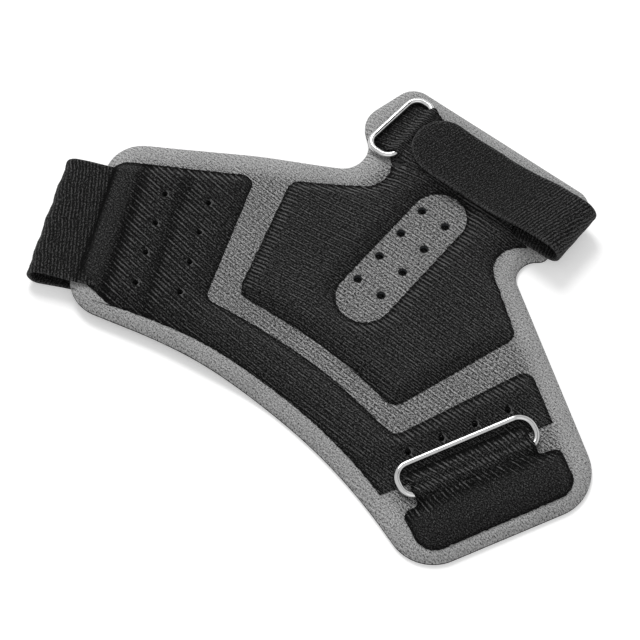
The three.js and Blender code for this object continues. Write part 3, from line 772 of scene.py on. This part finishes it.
class GuardStage(PropertyGroup):
    """Light on the guard."""

    sky: share_property("Sky", "Strength of the even light all round", 0.52, 2)
    key: FloatProperty(
        name="Key lamp", description="Power of the large lamp", unit="POWER", default=13.0, min=0
    )


# ---------------------------------------------------------------- shared steps
def dress(piece, body, slot, *nodes):
    """Ties a piece to its body and to the CAD nodes that it stands for."""
    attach(piece, body)
    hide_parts(*nodes)
    return piece


def towards_left(points, triangles):
    """How far each point's surface leans towards -x, from the plan's triangles."""
    a, b, c = (points[triangles[:, k]] for k in range(3))
    normal = np.cross(b - a, c - a)
    total = np.zeros_like(points)
    for k in range(3):
        np.add.at(total, triangles[:, k], normal)
    total /= np.maximum(np.linalg.norm(total, axis=1), 1e-12)[:, None]
    return -total[:, 0]


def lamp_side_rib_gain(points, triangles, base):
    """Rib strength, raised on sides that face the key lamp at -x and lowered on sides that face
    away: painted light on the ribs.
    """
    lean = towards_left(points, triangles)
    return np.clip(base + 2.2 * np.maximum(lean, 0) - 1.2 * np.maximum(-lean, 0), 0.15, 1.1)


def pad_cover(name, plan, lift, roll, material, rims, grain, nap=0.0, rib=0.42, shade=0.0):
    """A pad's skin: the lift above the cover, dimpled at its vents, and even in thickness. Its
    rims are a little ragged, and darkened by painted shade where the pad slopes down to the
    cover."""
    xy, triangles = plan
    near = np.min([np.abs(depth(xy, rim)) for rim in rims], axis=0)
    ragged = np.column_stack([waves(xy, 0.5, 21), waves(xy, 0.45, 22)])
    xy = xy + 0.28 * bell(near, 1.2)[:, None] * ragged
    # painted shade darkens the rims where the pad meets the cover; the vents get painted shade on
    # their walls and a painted highlight on their far side
    shade = shade - 0.3 * bell(near, 1.1) + painted_vent_light(xy, PAD_VENTS, 1.3)
    v = vent_distance(xy, PAD_VENTS)
    rise = lift(xy) - 0.75 * bell(v, 1.1) + 0.16 * bell(v - 2.0, 0.7)
    rise = np.maximum(rise + 0.1 * waves(xy, 5, 8) * smooth(rise), 0.22)
    face = base_face(xy, roll)
    top = level(xy, face + rise)
    bottom = level(xy, np.maximum(face + 0.04, face + rise - SKIN))
    grain = np.column_stack([grain[:, 0], grain[:, 1] + 0.4 * rise])
    # the rib mark is raised on sides that face the key lamp: painted light on the ribs
    marks = {"rib": lamp_side_rib_gain(top, triangles, rib), "nap": nap, "shade": shade}
    return shell(name, (xy, triangles), top, bottom, material, grain, marks)


def pad_foam(name, plan, lift, roll, material):
    """What fills a pad: it stands clear of the skin above it."""
    xy, _ = plan
    face = base_face(xy, roll)
    top = np.maximum(face + 0.85 * lift(xy) - 1.15, face + 0.25)
    return shell(name, plan, level(xy, top), level(xy, face + 0.1), material)


def pad(name, look, roll, plan, lift, rims, filled, step, vents=(), **cloth):
    """A pad's cloth and its filling, which is laid where filled(points) is positive, some way
    in from the rims and only where the pad stands high."""
    cover = pad_cover(name + "_cloth", plan, lift, roll, black_knit(look), rims, **cloth)
    dress(cover, "body", "black_knit", name + "_cover")

    def inside(p):
        return np.minimum(filled(p), 8 * (lift(p) - 1.25))

    plan = tile(rims, inside, step, vents, (FOAM_INSET + 0.05, FOAM_INSET + 1))
    foam = pad_foam(name + "_filling", plan, lift, roll, cell_foam())
    dress(foam, "body", "foam", name + "_foam")


class GuardPiece:
    """What every building step has in common."""

    bl_options = {"REGISTER", "UNDO"}

    def execute(self, context):
        self.build(context.scene.guard_look, context.scene.guard_shape)
        return {"FINISHED"}


# ---------------------------------------------------------------- stage
class GUARD_OT_stage(Operator):
    """Camera, soft lamps and pale floor"""

    bl_idname = "guard.stage"
    bl_label = "Stage"

    def execute(self, context):
        scene, light = context.scene, context.scene.guard_stage
        scene.view_settings.view_transform = "Standard"
        lo, hi = CAD_BOX
        foot = (lo + hi) / 2
        foot.z = 0
        self.camera(scene, foot + Vector(CAMERA_FOOT))
        for name, place, size, power in (
            ("key_lamp", (-0.78, 0.58, 1.12), 0.6, light.key),
            ("fill_lamp", (0.6, -0.7, 1.0), 1.0, light.key * 0.12),
        ):
            lamp = bpy.data.objects.new(name, bpy.data.lights.new(name, "AREA"))
            scene.collection.objects.link(lamp)
            lamp.data.size, lamp.data.energy = size, power
            self.point(lamp, foot + Vector(place), -Vector(place))
        world = bpy.data.worlds.new("studio")
        world.use_nodes = True
        scene.world = world
        tree = world.node_tree
        strength = add(tree, MIX, {0: self.seen(tree), 2: light.sky, 3: 1.0})
        tree.links.new(strength.outputs[0], tree.nodes["Background"].inputs["Strength"])
        tree.nodes["Background"].inputs["Color"].default_value = (1, 1, 1, 1)
        corners = np.array([[x, y, -0.05] for x, y in ((-1, -1), (1, -1), (1, 1), (-1, 1))])
        corners[:, :2] *= FLOOR_REACH
        self.card("floor", corners, self.painted_board())
        velvet, _, shader = started("black_velvet_card", Roughness=1.0, Specular_IOR_Level=0.0)
        shader.inputs["Base Color"].default_value = colour("141414")
        # only gloss sees this card over the table: it draws a dark line down the wires
        corners = np.array([[-70, 350, 877], [745, 430, 877], [745, 620, 877], [-70, 500, 877]])
        card = self.card("card", corners, velvet)
        for ray in ("camera", "diffuse", "transmission", "volume_scatter", "shadow"):
            setattr(card, "visible_" + ray, False)
        return {"FINISHED"}

    def point(self, thing, place, way):
        thing.location = place
        thing.rotation_mode = "QUATERNION"
        thing.rotation_quaternion = way.to_track_quat("-Z", "Y")

    def camera(self, scene, foot):
        camera = bpy.data.objects.new("camera", bpy.data.cameras.new("camera"))
        scene.collection.objects.link(camera)
        turn, up = math.radians(CAMERA_TURN), math.radians(CAMERA_UP)
        ahead = math.cos(up)
        back = Vector((math.sin(turn) * ahead, -math.cos(turn) * ahead, math.sin(up)))
        across = Vector((math.cos(turn), math.sin(turn), 0))
        place = foot + back * CAMERA_AWAY
        right, above = CAMERA_AIM
        self.point(camera, place, foot + across * right + back.cross(across) * above - place)
        camera.data.sensor_width, camera.data.lens = 36, 109.4
        camera.data.clip_start, camera.data.clip_end = 0.01, 20
        scene.camera = camera

    def card(self, name, corners, material):
        return mesh_object(name, corners, [(0, 1, 2, 3)], material)

    def seen(self, tree):
        """1 for rays from the camera, and for those that come off gloss or pass through."""
        path = add(tree, "ShaderNodeLightPath").outputs
        found = path["Is Camera Ray"]
        for ray in ("Is Glossy Ray", "Is Transmission Ray"):
            found = add(tree, MATHS, {0: found, 1: path[ray]}, operation="MAXIMUM")
        return found

    def painted_board(self):
        """Matt white painted board with a faint roller texture. Far off it fades into white."""
        sockets = {"Roughness": 0.9, "Specular_IOR_Level": 0.1}
        material, tree, shader = started("matt_painted_board", **sockets)
        shader.inputs["Base Color"].default_value = colour("F2F2F2")
        grain = add(tree, "ShaderNodeTexCoord").outputs["Object"]
        roller = add(tree, NOISE, {"Vector": grain, "Scale": 0.7 / MM})
        bump = {"Height": roller, "Strength": 0.1, "Distance": 0.02 * MM}
        tree.links.new(add(tree, "ShaderNodeBump", bump).outputs[0], shader.inputs["Normal"])
        shader.inputs["Emission Color"].default_value = (1, 1, 1, 1)
        far = add(tree, "ShaderNodeVectorMath", {0: grain}, operation="LENGTH").outputs["Value"]
        white = {"Value": far, "From Min": 0.35, "From Max": 1.1, "To Min": 0.3, "To Max": 1.0}
        white = add(tree, "ShaderNodeMapRange", white, interpolation_type="SMOOTHSTEP")
        glow = add(tree, MATHS, {0: self.seen(tree), 1: white}, operation="MULTIPLY")
        tree.links.new(glow.outputs[0], shader.inputs["Emission Strength"])
        return material


# ---------------------------------------------------------------- body laminate
class GUARD_OT_laminate(GuardPiece, Operator):
    """Lining, foam core, stay and grey cover of the body"""

    bl_idname = "guard.laminate"
    bl_label = "Body laminate"

    def build(self, look, shape):
        roll = shape.edge_roll / MM
        plan = tile([BODY], lambda p: depth(p, BODY), 1.6)
        xy = plan[0]
        rim = 1 - np.clip(depth(xy, BODY) / 0.4, 0, 1)
        top = level(xy, climb(xy) + LINING_TOP - 0.1 * rim)
        bottom = level(xy, climb(xy) + 0.12 * rim)
        lining = shell("lining_cloth", plan, top, bottom, lining_knit(), marks={"rib": 0.5})
        dress(lining, "body", "black_knit", "inner_lining")

        plan = tile([BODY], lambda p: depth(p, BODY) - 0.12, 1.5, ALL_VENTS)
        xy = plan[0]
        top = level(xy, face_height(xy, roll))
        bottom = level(xy, top[:, 2] - FACE_THICKNESS)
        # pressed is 1 away from the edge: the shade mark below darkens the cloth there as painted
        # shade in the channels among the raised pads and leaves the margins a little lighter; the
        # vents get painted shade on their walls
        pressed = smooth((depth(xy, BODY) - 5) / 7)
        marks = {
            # rib mark raised on sides that face the key lamp: painted light on the ribs
            "rib": 0.7 * lamp_side_rib_gain(top, plan[1], 0.12 + 0.4 * pressed),
            "nap": 0.35 * bell(vent_distance(xy, ALL_VENTS) - 0.5, 0.9) + 0.45 * (1 - pressed),
            "shade": 0.12 - 0.3 * pressed + painted_vent_light(xy, ALL_VENTS),
        }
        cover = shell("cover_cloth", plan, top, bottom, grey_knit(look), marks=marks)
        dress(cover, "body", "grey_knit", "outer_cover")

        pocket = pill(-1.3)
        edges = [BODY, pocket]
        plan = tile(edges, lambda p: depth(p, BODY) - 1.5, 2.4, ALL_VENTS, (0.2, 1.6, 2.6))
        xy = plan[0]
        under = face_height(xy, roll) - FACE_THICKNESS - climb(xy) - 0.12
        core = np.where(depth(xy, pocket) > 0, POCKET_TOP, np.minimum(CORE_TOP, under))
        top = level(xy, climb(xy) + np.maximum(core, CORE_LOW + 0.2))
        core = shell("foam_core_sheet", plan, top, level(xy, climb(xy) + CORE_LOW), cell_foam())
        dress(core, "body", "foam", "foam_core")
        give_material("wrist_stay", stay_plastic())


def give_material(node, material):
    """Finishes a CAD node that keeps its own shape."""
    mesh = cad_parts[node].data
    points = np.zeros(len(mesh.vertices) * 3)
    mesh.vertices.foreach_get("co", points)
    grain = points.reshape(-1, 3)[:, :2] / MM
    finish_mesh(mesh, material, grain, {"rib": 0.6, "nap": 0.2, "shade": 0.0})


# ---------------------------------------------------------------- pads
def combined(*heights):
    """The highest of several rises, with soft joins."""
    return sum(np.maximum(h, 0) ** 3 for h in heights) ** (1 / 3)


class GUARD_OT_hand_pad(GuardPiece, Operator):
    """Raised pad over the hand and its foam, with the loop that holds the small ring"""

    bl_idname = "guard.hand_pad"
    bl_label = "Hand pad"

    def build(self, look, shape):
        roll, side, height = shape.edge_roll / MM, shape.pad_side / MM, shape.pad_rise / MM
        rim, window = hand_pad_rim(), pill()
        low, high = ARM_LOW - 1.3, ARM_HIGH + 1.3
        tongue = rounded([(-40.3, low, 4), (-30, low, 1), (-30, high, 1), (-40.3, high, 4)])
        # left out of the pad: past the two steps at the strap's root, and past its left end
        beyond = [
            np.array([(low, y), (high, y), (high, FAR), (low, FAR)], float)
            for low, high, y in ((24, FAR, 74.4), (33, FAR, 65.1), (-FAR, -33.1, 65.1))
        ]

        def inside(p):
            x, y = p[:, 0], p[:, 1]
            left = np.maximum(x + 33.1, 65.1 - y)
            beside = np.maximum(24 - x, 74.4 - y)
            above = np.maximum(33 - x, 65.1 - y)
            cut = np.min([depth(p, rim), left, beside, above, -depth(p, window)], axis=0)
            return np.maximum(cut, depth(p, tongue))

        def lift(p):
            x, y = p[:, 0], p[:, 1]
            u = HAND_BAR - x
            d = np.minimum(depth(p, rim), -depth(p, window))
            crown = height * swell(d, side)
            crown = crown * np.maximum(smooth((-u - 0.4) / 3.6), smooth((68 - y) / 6))
            hump = (height + 1.0) * bell(u, 2.8) * (np.abs(y - HAND_CENTRE) < 12.25)
            low = 0.45 * smooth((depth(p, tongue) + 0.1) / 0.5) * (u > -4)
            rise = combined(crown, hump, low, THIN)
            room = THIN + height * smooth((-u - 4.2) / 3)
            return np.where((y < ARM_LOW) & (y > 60), np.minimum(rise, room), rise)

        plan = tile([rim, window, tongue, *beyond], inside, 1.3)
        x, y = plan[0].T
        bent = 1.4 * bell(HAND_BAR - x, 5) * (y - HAND_CENTRE) / 12 * smooth((y - 66) / 8)
        bent = bent - 0.2 * np.minimum(x + 12, 0)
        # inner marks the cloth inside the hand ring: the shade mark darkens it there as the wire's
        # painted shadow and painted shade under it
        inner = smooth((HAND_BAR - x - 5) / 4) + smooth((HAND_BAR - 8.5 - x) / 2)
        cloth = {
            "grain": np.column_stack([x, y + bent]),
            "rib": 0.34,
            "shade": 0.03 - 0.25 * inner * smooth((y - 68) / 5),
        }

        def filled(p):
            return np.minimum(inside(p) - FOAM_INSET, p[:, 0] - HAND_BAR - 5.5)

        pad("hand_pad", look, roll, plan, lift, (rim, window), filled, 2.6, **cloth)


class GUARD_OT_wrist_pad(GuardPiece, Operator):
    """Raised pad round the wrist and its foam, channelled over the left wing"""

    bl_idname = "guard.wrist_pad"
    bl_label = "Wrist pad"

    def build(self, look, shape):
        roll, side, height = shape.edge_roll / MM, shape.pad_side / MM, shape.pad_rise / MM
        rim, long_rim = wrist_pad_rim(), wrist_pad_rim(114)
        end = WRIST_PAD_RIGHT_END
        corners = ((end, -60), (end, 90), (FAR, 90), (FAR, -60))
        cut = np.array([wing_point(1, *corner) for corner in corners])

        def inside(p):
            return np.minimum(depth(p, rim), end - wing_place(1, p)[0])

        def lift(p):
            left, along = wing_place(-1, p)
            right, _ = wing_place(1, p)
            rise = height * swell(depth(p, long_rim), side)
            outer = shape.valley * bell(left - 82, 2.7)
            inner = 0.7 * shape.valley * bell(left - 65.5, 3.1)
            rise *= 1 - outer - inner * (0.35 + 0.65 * smooth((50 - along) / 14))
            rise *= 0.80 + 0.20 * smooth((WRIST_PAD_LEFT_END - left) / 3.2)
            thinned = np.maximum(rise - 0.6, 0) * smooth((57 - right) / 9)
            return np.where(right > 40, 0.6 * smooth(inside(p) / 0.4 + 0.6) + thinned, rise)

        plan = tile([rim, cut], inside, 1.3, PAD_VENTS)
        xy = plan[0]
        left, _ = wing_place(-1, xy)
        nap, wing = smooth((left - 83.0) / 2.0), smooth((left - 40) / 10)
        # painted shade in the channels between the ridges, and a painted shadow along the pad's
        # left end where it overhangs the strap
        channel_shade = bell(left - 81.2, 1.9) + 0.5 * bell(left - 65.0, 2.4)
        pad_end_shadow = bell(WRIST_PAD_LEFT_END - left, 0.6)
        cloth = {
            "grain": np.column_stack([xy[:, 0], xy[:, 1] + 0.09 * np.minimum(xy[:, 0] + 40, 0)]),
            "nap": 0.85 * nap,
            "rib": 0.3 + 0.25 * wing,
            "shade": 0.02 + 0.07 * nap - 0.4 * channel_shade - 0.5 * pad_end_shadow - 0.07 * wing,
        }

        def filled(p):
            left, right = wing_place(-1, p)[0], wing_place(1, p)[0]
            return np.min([inside(p) - FOAM_INSET, 84 - left, 50 - right], axis=0)

        pad("wrist_pad", look, roll, plan, lift, (rim,), filled, 1.7, PAD_VENTS, **cloth)


class GUARD_OT_tab_pad(GuardPiece, Operator):
    """Pad beyond the large ring and its foam, with the loop that holds the ring"""

    bl_idname = "guard.tab_pad"
    bl_label = "Tab pad"

    def build(self, look, shape):
        roll, side, height = shape.edge_roll / MM, shape.pad_side / MM, shape.pad_rise / MM
        neck = [(9.4, -22.6, 2.5), (9.4, 22.6, 2.5), (-3.2, 23, 1.6)]
        end = [(-3.6, 31.0, 3), (-20.7, 29.8, 7.5), (-20.7, -29.5, 7.5), (-3.2, -29.5, 3)]
        rim = rounded([(*ring_place(u, v), r) for u, v, r in (*neck, *end, (-3.2, -23, 1.6))])

        def lift(p):
            reach, along = wing_place(1, p)
            u, v = WRIST_BAR - reach, along - WRIST_RING_CENTRE
            d = depth(p, rim)
            crown = height * swell(d, side) * smooth((-u - 0.4) / 3.6)
            held = smooth((23.6 - np.abs(v)) / 0.8)
            hump = (height + 0.85) * bell(u, 2.65) * held
            swelling = 3.3 * bell(u - 4.6, 3.2) * held
            return combined(crown, hump, swelling, 0.75 * smooth(d / 0.5 + 0.4), THIN)

        plan = tile([rim], lambda p: depth(p, rim), 1.3)
        xy = plan[0]
        reach, along = wing_place(1, xy)
        out = reach - WRIST_BAR
        bent = 1.6 * (along - WRIST_RING_CENTRE) / 23 * bell(out, 5)
        cloth = {
            "grain": np.column_stack([xy[:, 0], xy[:, 1] + bent]),
            "nap": 0.9 * smooth((reach - 74.5) / 5),
            "rib": 0.45,
            # painted shade in the crease beyond the held bar, and the free bar's painted shadow
            # inside the ring
            "shade": -0.3 * bell(out - 4.2, 2.2) - 0.55 * smooth((-out - 5.5) / 3),
        }

        def filled(p):
            return np.minimum(depth(p, rim) - FOAM_INSET, wing_place(1, p)[0] - WRIST_BAR - 7.5)

        pad("ring_tab", look, roll, plan, lift, (rim,), filled, 2.6, **cloth)


# ---------------------------------------------------------------- rings
class GUARD_OT_rings(GuardPiece, Operator):
    """The two wire rings and the webbing that holds each one"""

    bl_idname = "guard.rings"
    bl_label = "Rings"

    def build(self, look, shape):
        lean = math.atan2(0.6, WRIST_BAR - WRIST_PAD_RIGHT_END)
        # the hand ring's free bar stands a little short and askew, with its held bar on the axis
        places = {
            "wrist_ring": (ring_place(0, 0), 180 - WING_ANGLE, lean, 0.0, 0.0),
            "hand_ring": ([HAND_BAR, HAND_CENTRE - 1.1], 180, 0.0, -0.7, 0.052),
        }
        for node, (origin, heading, tilt, slip, skew) in places.items():
            wire = WIRE[node]
            half, reach = (RING_LENGTH[node] - wire) / 2, RING_DEPTH[node] - wire
            bars = [(0, half), (reach, half), (reach, -half), (0, -half)]
            turns = rounded([(*bar, RING_CORNER[node]) for bar in bars], 0.35)
            butt = RING_BUTT / 2
            loop = spaced(np.concatenate([[[0, butt]], turns, [[0, -butt]]]), 1.5)
            gap = (loop[:, 0] == 0) & (np.abs(loop[:, 1]) < butt - 1e-6)
            loop = loop[~gap]
            loop[:, 0] += loop[:, 0] / reach * (slip + skew * loop[:, 1])
            out, across = unit(heading), unit(heading + 90)
            flat = origin + loop[:, :1] * math.cos(tilt) * out + loop[:, 1:] * across
            path = np.column_stack([flat, SEAT + wire / 2 + loop[:, 0] * math.sin(tilt)])
            points, faces = tube_points(path, wire / 2 + 0.07, 28)
            made = mesh_object(node + "_wire", points, faces, plated_wire(look))
            dress(made, node, "steel_wire", node)
            give_material(node + "_keeper", strap_elastic(look))


# ---------------------------------------------------------------- straps
class StrapPath:
    """A strap's middle line in its own upright plane, as (u, z) points, by length along it."""

    def __init__(self, outer, *runs):
        points = np.concatenate([np.array(run, float) for run in runs])
        for _ in range(2):
            near, far = points[:-1], points[1:]
            cut = np.stack([near * 0.75 + far * 0.25, near * 0.25 + far * 0.75], 1)
            points = np.concatenate([points[:1], cut.reshape(-1, 2), points[-1:]])
        steps = np.linalg.norm(np.diff(points, axis=0), axis=1)
        self.length = np.concatenate([[0], np.cumsum(steps)])
        self.points = points
        way = np.gradient(points, axis=0)
        way /= np.linalg.norm(way, axis=1)[:, None]
        self.normal = np.stack([-way[:, 1], way[:, 0]], 1) * outer

    def at(self, s):
        """The middle line's points and normals at the lengths s."""
        return (
            np.column_stack([np.interp(s, self.length, values[:, k]) for k in (0, 1)])
            for values in (self.points, self.normal)
        )

    def reaches(self, u, after=0.0):
        """The length at which the line crosses u, past a given length."""
        crossed = np.diff(np.sign(self.points[:, 0] - u)) != 0
        found = np.where(crossed & (self.length[1:] > after))[0][0]
        return self.length[found + 1]

    def fold(self, u):
        """The two lengths at which a folded strap passes u."""
        first = self.reaches(u)
        return first, self.reaches(u, first + 2)


def run(start, end, count, height):
    """Evenly spaced (u, z) points at a height."""
    return [[u, height] for u in np.linspace(start, end, count)]


def bow(centre, radius, start, end, steps=24):
    turn = np.radians(np.linspace(start, end, steps + 1))
    return [[centre[0] + radius * math.cos(a), centre[1] + radius * math.sin(a)] for a in turn]


def strap_part(name, path, outline, span, place, material, ways, turn):
    """One length of a strap: its plan is (length along, place across), bent along the path. The
    ways are its nap, shift and tone at each point, and the turn is its ribs' slant."""
    nap, shift, tone = ways
    origin, heading, outer = place
    low, high = span
    cut = np.array([(low, -40), (high, -40), (high, 40), (low, 40)], float)

    def inside(p):
        return np.min([depth(p, outline), p[:, 0] - low, high - p[:, 0]], axis=0)

    plan = tile([outline, cut], inside, 1.2, rings=(0.25, 0.6, 1.1, 1.8))
    xy = plan[0]
    s, v = xy.T
    middle, normal = path.at(s)
    middle = middle + shift(s, v)
    rim = depth(xy, outline)
    edge = np.clip(rim / 0.75, 0, 1)
    half = STRAP_THICKNESS / 2 * (0.25 + 0.75 * np.sqrt(1 - (1 - edge) ** 2))
    out, across = unit(heading), unit(heading + 90) * outer
    wander = 0.22 * np.sin(s / 4.1) * (1 - edge)

    def surface(sign):
        uz = middle + normal * (sign * half)[:, None]
        flat = np.array(origin) + uz[:, :1] * out + (v + wander)[:, None] * across
        return np.column_stack([flat, np.maximum(uz[:, 1], 0.01)])

    c, q = unit(turn)
    grain = np.column_stack([c * v - q * s, q * v + c * s])
    fleece = nap(s, v)
    # painted sheen on the fuzzy edges, where pile catches the light, added to the tone
    shade = 0.4 * bell(rim, 0.7) + tone(s, v)
    marks = {"rib": 0.85 - 0.45 * fleece, "nap": fleece, "shade": shade}
    return shell(name, plan, surface(1), surface(-1), material, grain, marks)


def lay_strap(look, kind, free, path, outline, fold, place, ways, turn):
    """A strap's root, fold and free length. The fold runs from one height of its middle line to
    the other; it is tied to neither body, and its transform is baked."""
    spans = {"root": (-1, fold[0]), "fold": fold, free: (fold[1], path.length[-1] + 1)}
    parts = {}
    for part, span in spans.items():
        name = f"{kind}_elastic_{part}"
        parts[part] = strap_part(name, path, outline, span, place, strap_elastic(look), ways, turn)
    node = kind + "_strap"
    dress(parts["root"], "body", "elastic", node + "_root")
    dress(parts[free], node, "elastic", f"{node}_{free}")
    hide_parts(node + "_fold")
    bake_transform(parts["fold"])


def hook_tape(kind, outline, base, tip):
    """A strip of hook tape, hooks down: a woven ground with rows of small bent hooks."""
    plan = tile([outline], lambda p: depth(p, outline), 1.6, rings=(0.3, 0.9))
    xy, triangles = plan
    edge = 1 - np.clip(depth(xy, outline) / 0.6, 0, 1)
    ground = base - 0.42
    parts = [(level(xy, base - 0.12 * edge), triangles.tolist())]
    parts.append((level(xy, ground + 0.1 * edge), triangles[:, ::-1].tolist()))
    low, high = outline.min(0), outline.max(0)
    x, y = np.meshgrid(np.arange(low[0], high[0], 1.5), np.arange(low[1], high[1], 1.3))
    x[1::2] += 0.75
    spots = np.column_stack([x.ravel(), y.ravel()])
    spots = spots[depth(spots, outline) > 1.0]
    for k, (px, py) in enumerate(spots):
        way = 1 if k % 2 else -1
        bends = ((0, ground), (0, tip + 0.2), (0.1 * way, tip + 0.09), (0.32 * way, tip + 0.1))
        parts.append(tube_points([(px + x, py, z) for x, z in bends], 0.09, 4))
    points, faces = join_parts(parts)
    faces.extend(edge_walls(triangles, len(xy)).tolist())
    tape = mesh_object(kind + "_hook_tape", points, faces, hook_nylon())
    dress(tape, kind + "_strap", "hook_tape", kind + "_strap_hook")


def stitch_row(kind, at, reach, base, half, heading):
    """A zigzag row of thread over a strap's sewn end."""
    out, across = unit(heading), unit(heading + 90)
    v = np.arange(-half, half, 0.22)
    swing = np.abs((v / 1.7) % 2 - 1) * 2 - 1
    middle = np.array(at) + np.outer(reach + 0.75 * swing, out) + np.outer(v, across)
    path = np.column_stack([middle, base + 0.3 + 0.16 * (1 - swing**4)])
    points, faces = tube_points(path, 0.21, 8)
    stitches = mesh_object(kind + "_strap_stitches", points, faces, bonded_thread())
    dress(stitches, "body", "thread", kind + "_strap_stitching")


class GUARD_OT_wrist_strap(GuardPiece, Operator):
    """Wide elastic strap, folded under the left wing"""

    bl_idname = "guard.wrist_strap"
    bl_label = "Wrist strap"

    def build(self, look, shape):
        half, radius = STRAP_THICKNESS / 2, 3.55
        high, middle = 7.1 + half, 0.7 + radius
        tip = np.linspace(75.5, WRIST_TAIL_TIP, 24)
        path = StrapPath(
            1,
            run(WRIST_SEWN + 1, WRIST_FOLD - 1, 24, high),
            bow((WRIST_FOLD, middle), radius, 90, -90),
            run(WRIST_FOLD - 1, 76.5, 30, half),
            np.column_stack([tip, half + 1.3 * smooth((75.5 - tip) / 4)]),
        )
        total = path.length[-1]
        first, second = path.fold(WRIST_FOLD)
        w = 1.01 * WRIST_STRAP_WIDTH / 2
        outline = rounded([(0, -w, 0.6), (total, -w, 14), (total, w, 14), (0, w, 0.6)])
        bulge = shape.fold_bulge / MM

        def shift(s, v):
            u = next(path.at(s))[:, 0]
            near = smooth((u - 96) / 12)
            along = 0.22 * np.sin(v / 2.1 + 1.1) + 0.08 * np.sin(v / 0.8)
            along = bulge * np.cos(v / w * 1.45) + along
            return np.column_stack([near * along, 0.1 * near * (np.sin(v / 3.1) + 1)])

        def nap(s, v):
            return np.where(s < first + 6, 0.12, 0.55)

        def tone(s, v):
            """Painted shadow where the pad's end overhangs it, a painted highlight along the
            fold's crest, and a little darker overall.
            """
            # offset from the pad's end edge, where the painted shadow falls
            pressed = s - (WRIST_PAD_LEFT_END - WRIST_SEWN - 0.6)
            outer = s - (first + second) / 2 + 1.5
            return -0.08 - 0.6 * bell(pressed, 0.7) + 0.3 * bell(outer, 2.0)

        at = wing_point(-1, 0, WRIST_STRAP_CENTRE)
        place, heights, ways = (at, LEFT_OUT, 1), (high, half), (nap, shift, tone)
        fold = first, second
        lay_strap(look, "wrist", "tail", path, outline, fold, place, ways, 13)
        corners = ((51.5, -23.5, 12.5), (71.5, -23.5, 1), (71.5, 23.5, 1), (51.5, 23.5, 12.5))
        tape = [(*wing_point(-1, u, WRIST_STRAP_CENTRE + v), r) for u, v, r in corners]
        hook_tape("wrist", rounded(tape), 1.05, 0.03)
        stitch_row("wrist", at, 88, high + half, 20, LEFT_OUT)


class GUARD_OT_hand_strap(GuardPiece, Operator):
    """Narrow elastic strap, folded back over the hand band"""

    bl_idname = "guard.hand_strap"
    bl_label = "Hand strap"

    def build(self, look, shape):
        half, radius = STRAP_THICKNESS / 2, HAND_FOLD_RADIUS
        low, puff = SEAT + half, shape.fold_puff / MM
        middle, high, rest = low + radius, low + radius + radius, 8.9
        u = np.linspace(HAND_FOLD - 2.5, HAND_FLAP_TIP, 64)
        falls = [(HAND_FLAP_TIP, 0), (8, 0), (20, 0.3), (30, 0.73), (HAND_FOLD - 2.5, 1)]
        flap = rest + np.interp(u, *np.transpose(falls)) * (high - rest)
        path = StrapPath(
            -1,
            run(HAND_SEWN, HAND_FOLD - 1, 14, low),
            bow((HAND_FOLD, middle), radius, -90, 90),
            np.column_stack([u, flap]),
        )
        total = path.length[-1]
        first, second = path.fold(HAND_HINGE)
        w = 0.95 * HAND_STRAP_WIDTH / 2
        outline = rounded([(0, -w, 0.6), (total, -w, w - 0.1), (total, w, w - 0.1), (0, w, 0.6)])

        def shift(s, v):
            u, z = next(path.at(s)).T
            upper = smooth((z - low) / (2 * radius))
            puffed = puff * bell(u - HAND_FOLD + 5, 9) * upper
            settled = 0.25 * np.sin(s / 7.3 + 0.4) * smooth((s - second) / 12)
            return np.column_stack([0.18 * upper * np.sin(v / 1.3), puffed + settled])

        def nap(s, v):
            return 0.1 + 0.5 * smooth((s - second - 8) / 14)

        def tone(s, v):
            """Painted highlight along the fold's crest."""
            return 0.35 * bell(s - (first + second) / 2 - 1.0, 2.2)

        place, heights, ways = ([0, HAND_CENTRE - 0.75], 0, -1), (low, high), (nap, shift, tone)
        fold = first, second
        lay_strap(look, "hand", "flap", path, outline, fold, place, ways, -16.7)
        near, far = HAND_CENTRE - w + 1.5, HAND_CENTRE + w - 1.5
        tape = [(-24.7, near, w - 1.6), (-2.7, near, 1), (-2.7, far, 1), (-24.7, far, w - 1.6)]
        hook_tape("hand", rounded(tape), 8.1, 7.15)
        stitch_row("hand", (0, HAND_CENTRE), 27.8, low + half, 8.5, 0)


# ---------------------------------------------------------------- panel and registration
STEPS = (
    GUARD_OT_stage,
    GUARD_OT_laminate,
    GUARD_OT_hand_pad,
    GUARD_OT_wrist_pad,
    GUARD_OT_tab_pad,
    GUARD_OT_rings,
    GUARD_OT_wrist_strap,
    GUARD_OT_hand_strap,
)
GROUPS = (("guard_look", GuardLook), ("guard_shape", GuardShape), ("guard_stage", GuardStage))


class GUARD_PT_panel(Panel):
    """Sizes, colours and building steps of the wrist guard"""

    bl_idname = "GUARD_PT_panel"
    bl_label = "Wrist guard"
    bl_space_type = "VIEW_3D"
    bl_region_type = "UI"
    bl_category = "Guard"

    def draw(self, context):
        for name, group in GROUPS:
            box = self.layout.box()
            for key in group.__annotations__:
                box.prop(getattr(context.scene, name), key)
        for step in STEPS:
            self.layout.operator(step.bl_idname)


def register():
    for name, group in GROUPS:
        bpy.utils.register_class(group)
        setattr(bpy.types.Scene, name, PointerProperty(type=group))
    for step in (*STEPS, GUARD_PT_panel):
        bpy.utils.register_class(step)


def unregister():
    for step in (GUARD_PT_panel, *reversed(STEPS)):
        bpy.utils.unregister_class(step)
    for name, group in reversed(GROUPS):
        delattr(bpy.types.Scene, name)
        bpy.utils.unregister_class(group)


def main():
    register()
    for step in STEPS:
        part, name = step.bl_idname.split(".")
        getattr(getattr(bpy.ops, part), name)()


if __name__ == "__main__":
    main()
